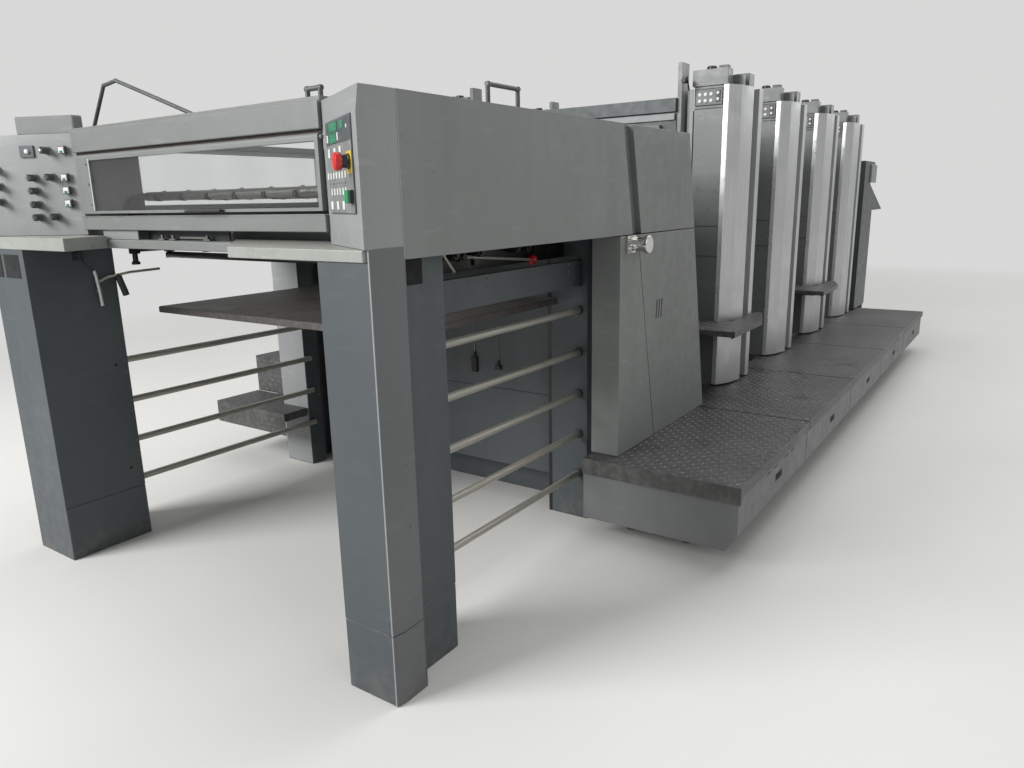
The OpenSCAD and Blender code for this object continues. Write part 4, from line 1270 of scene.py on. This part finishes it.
@dataclass
class Footboard(Assembly):
    """Operator side footboard: tread lugs, skirt seams, slits and the lifting hole."""

    coats = (
        Coat(TREAD, ("footboard_plates", "operator_steps", "drive_footboard"), 2.5),
        Coat(SKIRT_PAINT, ("footboard_skirt",), 1.0),
        Coat(FRAME_PAINT, ("footboard_frame", "drive_frame"), 1.5),
    )
    x0: float = 752.0
    x1: float = 1315.0
    y0: float = -2489.0
    pitch: float = 847.4
    plates: int = 5
    z: float = 295.0
    rim: float = 36.0
    skirt_x: float = 1306.0

    def build(self) -> None:
        """Lays the lugs and marks joints and openings."""
        starts = [self.y0 + i * self.pitch for i in range(self.plates)]
        self.lugs(starts)
        joints, dark, seams, screws = (Shape() for _ in range(4))
        for y in starts[1:]:
            joints.block((self.x0 + 2, y - 2.5, self.z - 2), (self.x1 - 1, y + 2.5, self.z + 0.6))
            seams.block((self.skirt_x - 0.6, y - 3, 128), (self.skirt_x + 0.2, y + 3, 258))
        joints.piece("footboard_joints", HOLE_BLACK, Slot.TREAD)
        for y in (-2072, -1225, -377, 470, 1317):
            dark.block((self.skirt_x - 0.4, y, 181), (self.skirt_x + 0.4, y + 80, 207))
        for y in (-2180, -2100, -1960, -1880):
            dark.block((self.skirt_x - 0.4, y, 238), (self.skirt_x + 0.3, y + 46, 242))
        dark.piece("skirt_openings", HOLE_BLACK, Slot.SKIRT)
        seams.piece("skirt_seams", HOLE_BLACK, Slot.SKIRT)
        head = [(7, -0.4), (7, 1.4), (5, 2.2), (0.4, 2.2)]
        for y in starts:
            for dx in (24, 539):
                for dy in (28, self.pitch - 28):
                    screws.turned(head, (self.x0 + dx, y + dy, self.z), UP, 14)
        screws.piece("footboard_screws", DULL_STEEL, Slot.TREAD)

    def lugs(self, starts: Sequence[float]) -> None:
        """Lays the lugs on top, on the outer rim and on the front step of the footboard.

        Args:
            starts: Where each plate begins along the press.
        """
        field, lugs = TreadField(), Shape()
        wide, long = self.x1 - self.x0 - 6, self.pitch - 10
        for y in starts:
            field.cover(lugs, (self.x0 + 3, y + 5, self.z), SIDE, BACK, (wide, long))
            field.cover(lugs, (self.x1 - 1.4, y + 5, self.z - self.rim + 1), BACK, UP, (long, self.rim - 4))
        field.cover(lugs, (self.x0 + 3, self.y0 + 0.6, self.z - 56), SIDE, UP, (wide, 52))
        lugs.piece("footboard_lugs", TREAD_LUGS, Slot.TREAD)


@dataclass
class SteppedTreads(Assembly):
    """Lugs and brackets of the tower steps and of the drive side platform."""

    tower_y: tuple[float, float] = (-1268.0, 332.0)
    z: float = 610.0
    outer_x: float = 957.0

    def build(self) -> None:
        """Builds the lugs and brackets."""
        field = TreadField()
        lugs, brackets = Shape(), Shape()
        for y in self.tower_y:
            edge = [(648, y - 254), (948, y - 254), (948, y + 120), (884, y + 330)]
            edge += [(866, y + 330), (866, y - 16), (648, y - 16)]
            field.cover(lugs, (640, y - 262, self.z), SIDE, BACK, (317, 607), edge)
            field.cover(lugs, (640, y - 261.4, self.z - 26), SIDE, UP, (317, 24))
            brackets.block((640, y - 9, self.z - 60), (848, y - 4, self.z - 27))
            brackets.block((self.outer_x - 20, y - 250, self.z - 34), (self.outer_x - 14, y + 120, self.z - 26))
        for corner, across, size in (
            ((-1169, -1768, 450), BACK, (306, 3512)),
            ((-1169, -2364, 450), BACK, (190, 590)),
            ((-1177, -2607, 272), BACK, (484, 126)),
            ((-1177, -2478, 272), BACK, (312, 104)),
            ((-1179, -2609.2, 176), UP, (488, 94)),
            ((-1169, -2371.2, 276), UP, (190, 168)),
        ):
            field.cover(lugs, corner, SIDE, across, size)
        lugs.piece("step_lugs", TREAD_LUGS, Slot.TREAD)
        brackets.piece("step_brackets", FRAME_PAINT, Slot.UNIT, bevel=0.8)


@dataclass
class Towers(Assembly):
    """Towers of the printing units: button plates, hoods, silver covers and their trims."""

    coats = (
        Coat(TOWER_PAINT, ("operator_towers", "drive_towers", "tower_heads"), 2.5),
        Coat(SILVER_COAT, ("operator_columns", "drive_columns"), 1.0, limit=12.0),
        Coat(PANEL_PAINT, ("button_plates",), 1.2),
    )
    faces: tuple[float, ...] = (-1268.0, -468.0, 332.0, 1132.0)
    plate_out: float = 7.3
    top: float = 1648.0
    low: float = 304.0
    cap_z: float = 1716.0

    def build(self) -> None:
        """Adds plates, trims, knobs and caps."""
        self.plates()
        edges, knobs, caps, strips = (Shape() for _ in range(4))
        for y in self.faces:
            for side in (-1, 1):
                x0, x1, x2 = side * 770.5, side * 790.5, side * 792.4
                nose = [(x0, y - 1.6), (x1, y - 1.6), (x2, y + 0.8), (x0, y + 0.8)]
                edges.drawn(nose, Axis.Z, self.low, self.top)
                inner, outer = sorted((side * 604, side * 632))
                strips.block((inner, y - 1.5, 985), (outer, y + 2, 1640))
                grip = [(9, 0), (9, 10), (6, 14), (12, 18), (12, 30), (9, 34), (0.4, 34)]
                knobs.turned(grip, (side * 612, y - 40, 1672), OUT)
                knobs.rod((side * 628, y - 44, 1630), (side * 618, y - 52, 1690), 7)
                caps.turned([(22, 0), (22, 10), (18, 15), (0.5, 16)], (side * 705, y + 20, self.cap_z), UP)
                inner, outer = sorted((side * 740, side * 780))
                caps.block((inner, y + 10, self.cap_z), (outer, y + 44, self.cap_z + 14))
        edges.piece("silver_edges", BRIGHT_EDGE, Slot.SILVER)
        strips.piece("inner_strips", EDGE_PAINT, Slot.SILVER, bevel=0.8)
        knobs.piece("tower_knobs", OILED_IRON, Slot.DARK)
        caps.piece("tower_caps", BLACK_PLASTIC, Slot.DARK, bevel=0.8)

    def plates(self) -> None:
        """Builds rims, buttons and bezels of the button plates, and the seams of the towers' faces."""
        rims, buttons, bezels, seams = (Shape() for _ in range(4))
        for y in self.faces:
            front = y - self.plate_out
            for x0, z0, x1, z1 in (
                (640, 1567, 767, 1571), (640, 1634, 767, 1638), (640, 1571, 644, 1634), (763, 1571, 767, 1634),
            ):
                rims.block((x0, front - 2.5, z0), (x1, front + 1, z1))
            for z in (1585, 1612):
                for x in (664, 690, 716):
                    buttons.turned([(8, -0.5), (8, 3), (6.5, 4.5), (0.4, 4.8)], (x, front, z), OUT, 18)
            bezels.block((737, front - 3, 1577), (757, front + 1, 1628))
            for z in (1590, 1615):
                buttons.turned([(6.5, 2), (6.5, 5), (5.5, 6), (0.4, 6)], (747, front, z), OUT, 18)
            for out, z0, z1 in ((1.2, 1552, 1556), (0.8, 1040, 1043), (0.8, 905, 908)):
                seams.block((637, y - out, z0), (769, y + 0.5, z1))
        rims.piece("button_plate_rims", SLATE_PLASTIC, Slot.LIGHT, bevel=0.5)
        buttons.piece("tower_buttons", WHITE_PLASTIC, Slot.KEYS)
        bezels.piece("tower_button_bezels", BLACK_PLASTIC, Slot.KEYS, bevel=1.0)
        seams.piece("tower_seams", DARK_PAINT, Slot.UNIT)


@dataclass
class PrintingUnits(Assembly):
    """The unit housings: ink ducts with keys, roller ends, guards and cylinder gaps."""

    coats = (
        Coat(UNIT_PAINT, ("unit_1", "unit_2", "unit_3", "unit_4", "machine_bed"), 3.0),
        Coat(PANEL_PAINT, ("ink_guards",), 2.0),
    )
    middles: tuple[float, ...] = (-1200.0, -400.0, 400.0, 1200.0)
    duct_back: float = 373.0
    face: float = 137.0
    grip_z: float = 1330.0

    def build(self) -> None:
        """Adds ducts, rollers, guards' grips and front bars."""
        duct, keys, rollers, grips, bars = (Shape() for _ in range(5))
        for middle in self.middles:
            y = middle + self.duct_back
            trough = [(y - 2, 1380), (y + 62, 1400), (y + 70, 1440), (y + 20, 1473), (y - 2, 1473)]
            duct.drawn(trough, Axis.X, -520, 520)
            duct.block((-540, y - 2, 1350), (540, y + 6, 1382))
            for i in range(20):
                x = -480 + i * 50.5
                keys.rod((x, y + 60, 1424), (x, y + 86, 1418), 16, 14, 2)
            for z, thick in ((1300, 80), (1220, 66), (1140, 84)):
                rollers.rod((-540, y + 6, z), (540, y + 6, z), thick, 32, 3)
            rollers.rod((-560, middle + 352, 905), (560, middle + 352, 905), 80, 32, 3)
            y, z = middle - self.face, self.grip_z
            for x in (-305, 195):
                for foot in (x, x + 110):
                    grips.rod((foot, y, z), (foot, y - 26, z), 9)
                grips.rod((x - 6, y - 26, z), (x + 116, y - 26, z), 11)
            bars.block((-566, y + 14, 1512), (566, y + 20, 1541))
        duct.piece("ink_ducts", UNIT_PAINT, Slot.UNIT, bevel=1.5)
        keys.piece("ink_keys", BLACK_PLASTIC, Slot.KEYS)
        rollers.piece("unit_rollers", RUBBER, Slot.RUBBER)
        grips.piece("ink_guard_grips", CHROME, Slot.STEEL)
        bars.piece("unit_front_bars", EDGE_PAINT, Slot.UNIT, bevel=2.0)


@dataclass
class Feeder(Assembly):
    """Feeder: side boxes, suction head, tapes of the feed table and the pile board."""

    coats = (
        Coat(UNIT_PAINT, ("feeder_sides",), 3.0),
        Coat(FRAME_PAINT, ("feeder_stand",), 2.0),
        Coat(DULL_STEEL, ("feed_table",), 1.5),
        Coat(DARK_PAINT, ("feeder_head",), 3.0),
        Coat(TREAD, ("feeder_pile_board",), 1.5),
    )
    tape_y0: float = 1610.0
    tape_y1: float = 2385.0
    tape_z: float = 991.2
    fall: float = 120 / 786
    wheel_y: float = 2030.0
    foot_y: float = 2720.0
    shaft_y: float = 2607.0

    def build(self) -> None:
        """Adds boxes, arms, tapes, wheels, suction feet and planks."""
        box, arm, planks = Shape(), Shape(), Shape()
        for side in (-1, 1):
            low, high = sorted((side * 852, side * 866))
            box.block((low, 1790, 1249), (high, 1990, 1382))
            low, high = sorted((side * 800, side * 824))
            arm.drawn([(1996, 1236), (2008, 1249), (2122, 1080), (2108, 1070)], Axis.X, low, high)
            arm.rod((side * 796, 2110, 1082), (side * 838, 2110, 1082), 34, 28, 3)
        box.piece("feeder_boxes", CONSOLE_PAINT, Slot.LIGHT, bevel=4.0)
        arm.piece("feeder_arms", DULL_STEEL, Slot.FEEDER, bevel=1.5)
        self.table()
        self.suction()
        for i in range(9):
            x = -622 + i * 138.7
            planks.block((x, 2115, 74.5), (x + 134, 2899, 78))
        planks.piece("feeder_board_planks", TREAD_LUGS, Slot.TREAD, bevel=1.0)

    def table(self) -> None:
        """Lays the tapes on the feed table and sets the wheels over them."""
        tapes, wheels = Shape(), Shape()
        start, end, z = self.tape_y0, self.tape_y1, self.tape_z
        rise = (end - start) * self.fall
        outline = [(start, z), (end, z + rise), (end, z + 2.2 + rise), (start, z + 2.2)]
        for x in range(-450, 451, 180):
            tapes.drawn(outline, Axis.X, x - 22, x + 22)
        tapes.piece("feed_tapes", RUBBER, Slot.RUBBER)
        z = 1019 + (self.wheel_y - start) * self.fall
        for x in range(-360, 361, 180):
            wheels.rod((x - 9, self.wheel_y, z), (x + 9, self.wheel_y, z), 44, 24, 2)
        wheels.rod((-560, self.wheel_y, 1102), (560, self.wheel_y, 1102), 18)
        wheels.piece("feed_wheels", OILED_IRON, Slot.DARK)

    def suction(self) -> None:
        """Hangs the suction feet and their lifting rods on the head."""
        feet, y = Shape(), self.foot_y
        for x in (-150, -50, 50, 150):
            feet.rod((x, y, 1110), (x, y, 1012), 16, 16)
            feet.turned([(9, 0), (14, 8), (17, 22)], (x, y, 1012), (0, 0, -1))
            feet.rod((x, y - 30, 1105), (x, y + 10, 1105), 22, 16, 2)
        y = self.shaft_y
        for side in (-1, 1):
            feet.rod((side * 250, y, 1130), (side * 250, y, 1215), 18)
            feet.rod((side * 250, y, 1215), (side * 180, y, 1215), 12)
        feet.piece("suction_feet", DULL_STEEL, Slot.FEEDER)


@dataclass
class Studio(Assembly):
    """Floor, lamps, world and camera, in metres; it dresses no node."""

    eye: tuple[float, float, float] = (1.9883, -4.696, 1.180)
    yaw: float = -34.72
    pitch: float = 13.698
    roll: float = -1.1687
    focal: float = 757.99
    width: float = 1024.0
    floor_half: float = 40.0
    sensor: float = 36.0

    def build(self) -> None:
        """Builds the stage."""
        self.floor()
        self.sky()
        self.lamp("window_lamp", (-2.9, -8.6, 4.2), (0.2, -2.2, 0.8), 3.5, 720)
        self.lamp("side_lamp", (6.5, -3.5, 3.8), (0.6, -1.2, 0.8), 4.5, 75)
        self.lamp("top_lamp", (0.5, 0.5, 6.2), (0.5, 0.0, 0.0), 6.5, 270)
        self.lamp("rear_lamp", (3.5, 6.5, 4.5), (0.0, 1.0, 0.8), 5.0, 130)
        self.camera()

    def floor(self) -> None:
        """Lays the plain pale floor."""
        mesh, half = bpy.data.meshes.new("floor"), self.floor_half
        mesh.from_pydata([(-half, -half, 0), (half, -half, 0), (half, half, 0), (-half, half, 0)], [], [(0, 1, 2, 3)])
        mesh.materials.append(GROUND.make())
        into_scene("floor", mesh)

    def sky(self) -> None:
        """Makes the soft world light, pale where the camera or glass sees it."""
        world = bpy.data.worlds.new("hall_light")
        bpy.context.scene.world = world
        world.use_nodes = True
        nodes, links = world.node_tree.nodes, world.node_tree.links
        lit, seen = nodes["Background"], nodes.new("ShaderNodeBackground")
        for shade, colour, strength in ((lit, (0.92, 0.93, 0.93, 1), 0.42), (seen, (*BACKDROP, 1), 1.0)):
            shade.inputs["Color"].default_value = colour
            shade.inputs["Strength"].default_value = strength
        path, either = nodes.new("ShaderNodeLightPath"), nodes.new("ShaderNodeMath")
        either.operation = "MAXIMUM"
        mix = nodes.new("ShaderNodeMixShader")
        for source, target in (
            (path.outputs["Is Camera Ray"], either.inputs[0]),
            (path.outputs["Is Transmission Ray"], either.inputs[1]),
            (either.outputs[0], mix.inputs[0]),
            (lit.outputs[0], mix.inputs[1]),
            (seen.outputs[0], mix.inputs[2]),
            (mix.outputs[0], nodes["World Output"].inputs["Surface"]),
        ):
            links.new(source, target)

    def lamp(self, name: str, spot: Point, target: Point, size: float, power: float) -> None:
        """Hangs one soft lamp.

        Args:
            name: Name of the lamp.
            spot: Where it hangs.
            target: What it looks at.
            size: Side of its square face.
            power: Watts.
        """
        data = bpy.data.lights.new(name, "AREA")
        data.size, data.energy = size, power
        lamp = into_scene(name, data)
        lamp.location = spot
        lamp.rotation_euler = (Vector(target) - Vector(spot)).to_track_quat("-Z", "Y").to_euler()

    def camera(self) -> None:
        """Sets the camera where the photograph was taken."""
        yaw, pitch, roll = (math.radians(a) for a in (self.yaw, self.pitch, self.roll))
        ahead = Vector((math.sin(yaw) * math.cos(pitch), math.cos(yaw) * math.cos(pitch), -math.sin(pitch)))
        flat = Vector((math.cos(yaw), -math.sin(yaw), 0))
        over = flat.cross(ahead)
        right = flat * math.cos(roll) + over * math.sin(roll)
        up = over * math.cos(roll) - flat * math.sin(roll)
        data = bpy.data.cameras.new("camera")
        data.sensor_width = self.sensor
        data.lens = self.focal * self.sensor / self.width
        data.clip_start, data.clip_end = 0.05, 200.0
        camera = into_scene("camera", data)
        rows = [(right[i], up[i], -ahead[i], self.eye[i]) for i in range(3)]
        camera.matrix_world = Matrix((*rows, (0, 0, 0, 1)))
        bpy.context.scene.camera = camera


def main() -> None:
    """Builds the dressed press and its stage."""
    logging.basicConfig(level=logging.INFO, format="%(name)s: %(message)s")
    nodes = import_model()["nodes"]
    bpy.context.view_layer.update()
    bpy.context.scene.view_settings.view_transform = "Standard"
    delivery = (ControlConsole, SwitchConsole, FrontGuard, DeliveryFront, DeliveryWorks, FrontColumns, PileSpace)
    rest = (ReleaseLever, SideCovers, Footboard, Towers, PrintingUnits, Feeder, SteppedTreads, Studio)
    for kind in (*delivery, *rest):
        part = kind()
        part.dress(nodes)
        part.build()
        LOG.info("built %s", kind.__name__)
    bpy.context.view_layer.update()


if __name__ == "__main__":
    main()
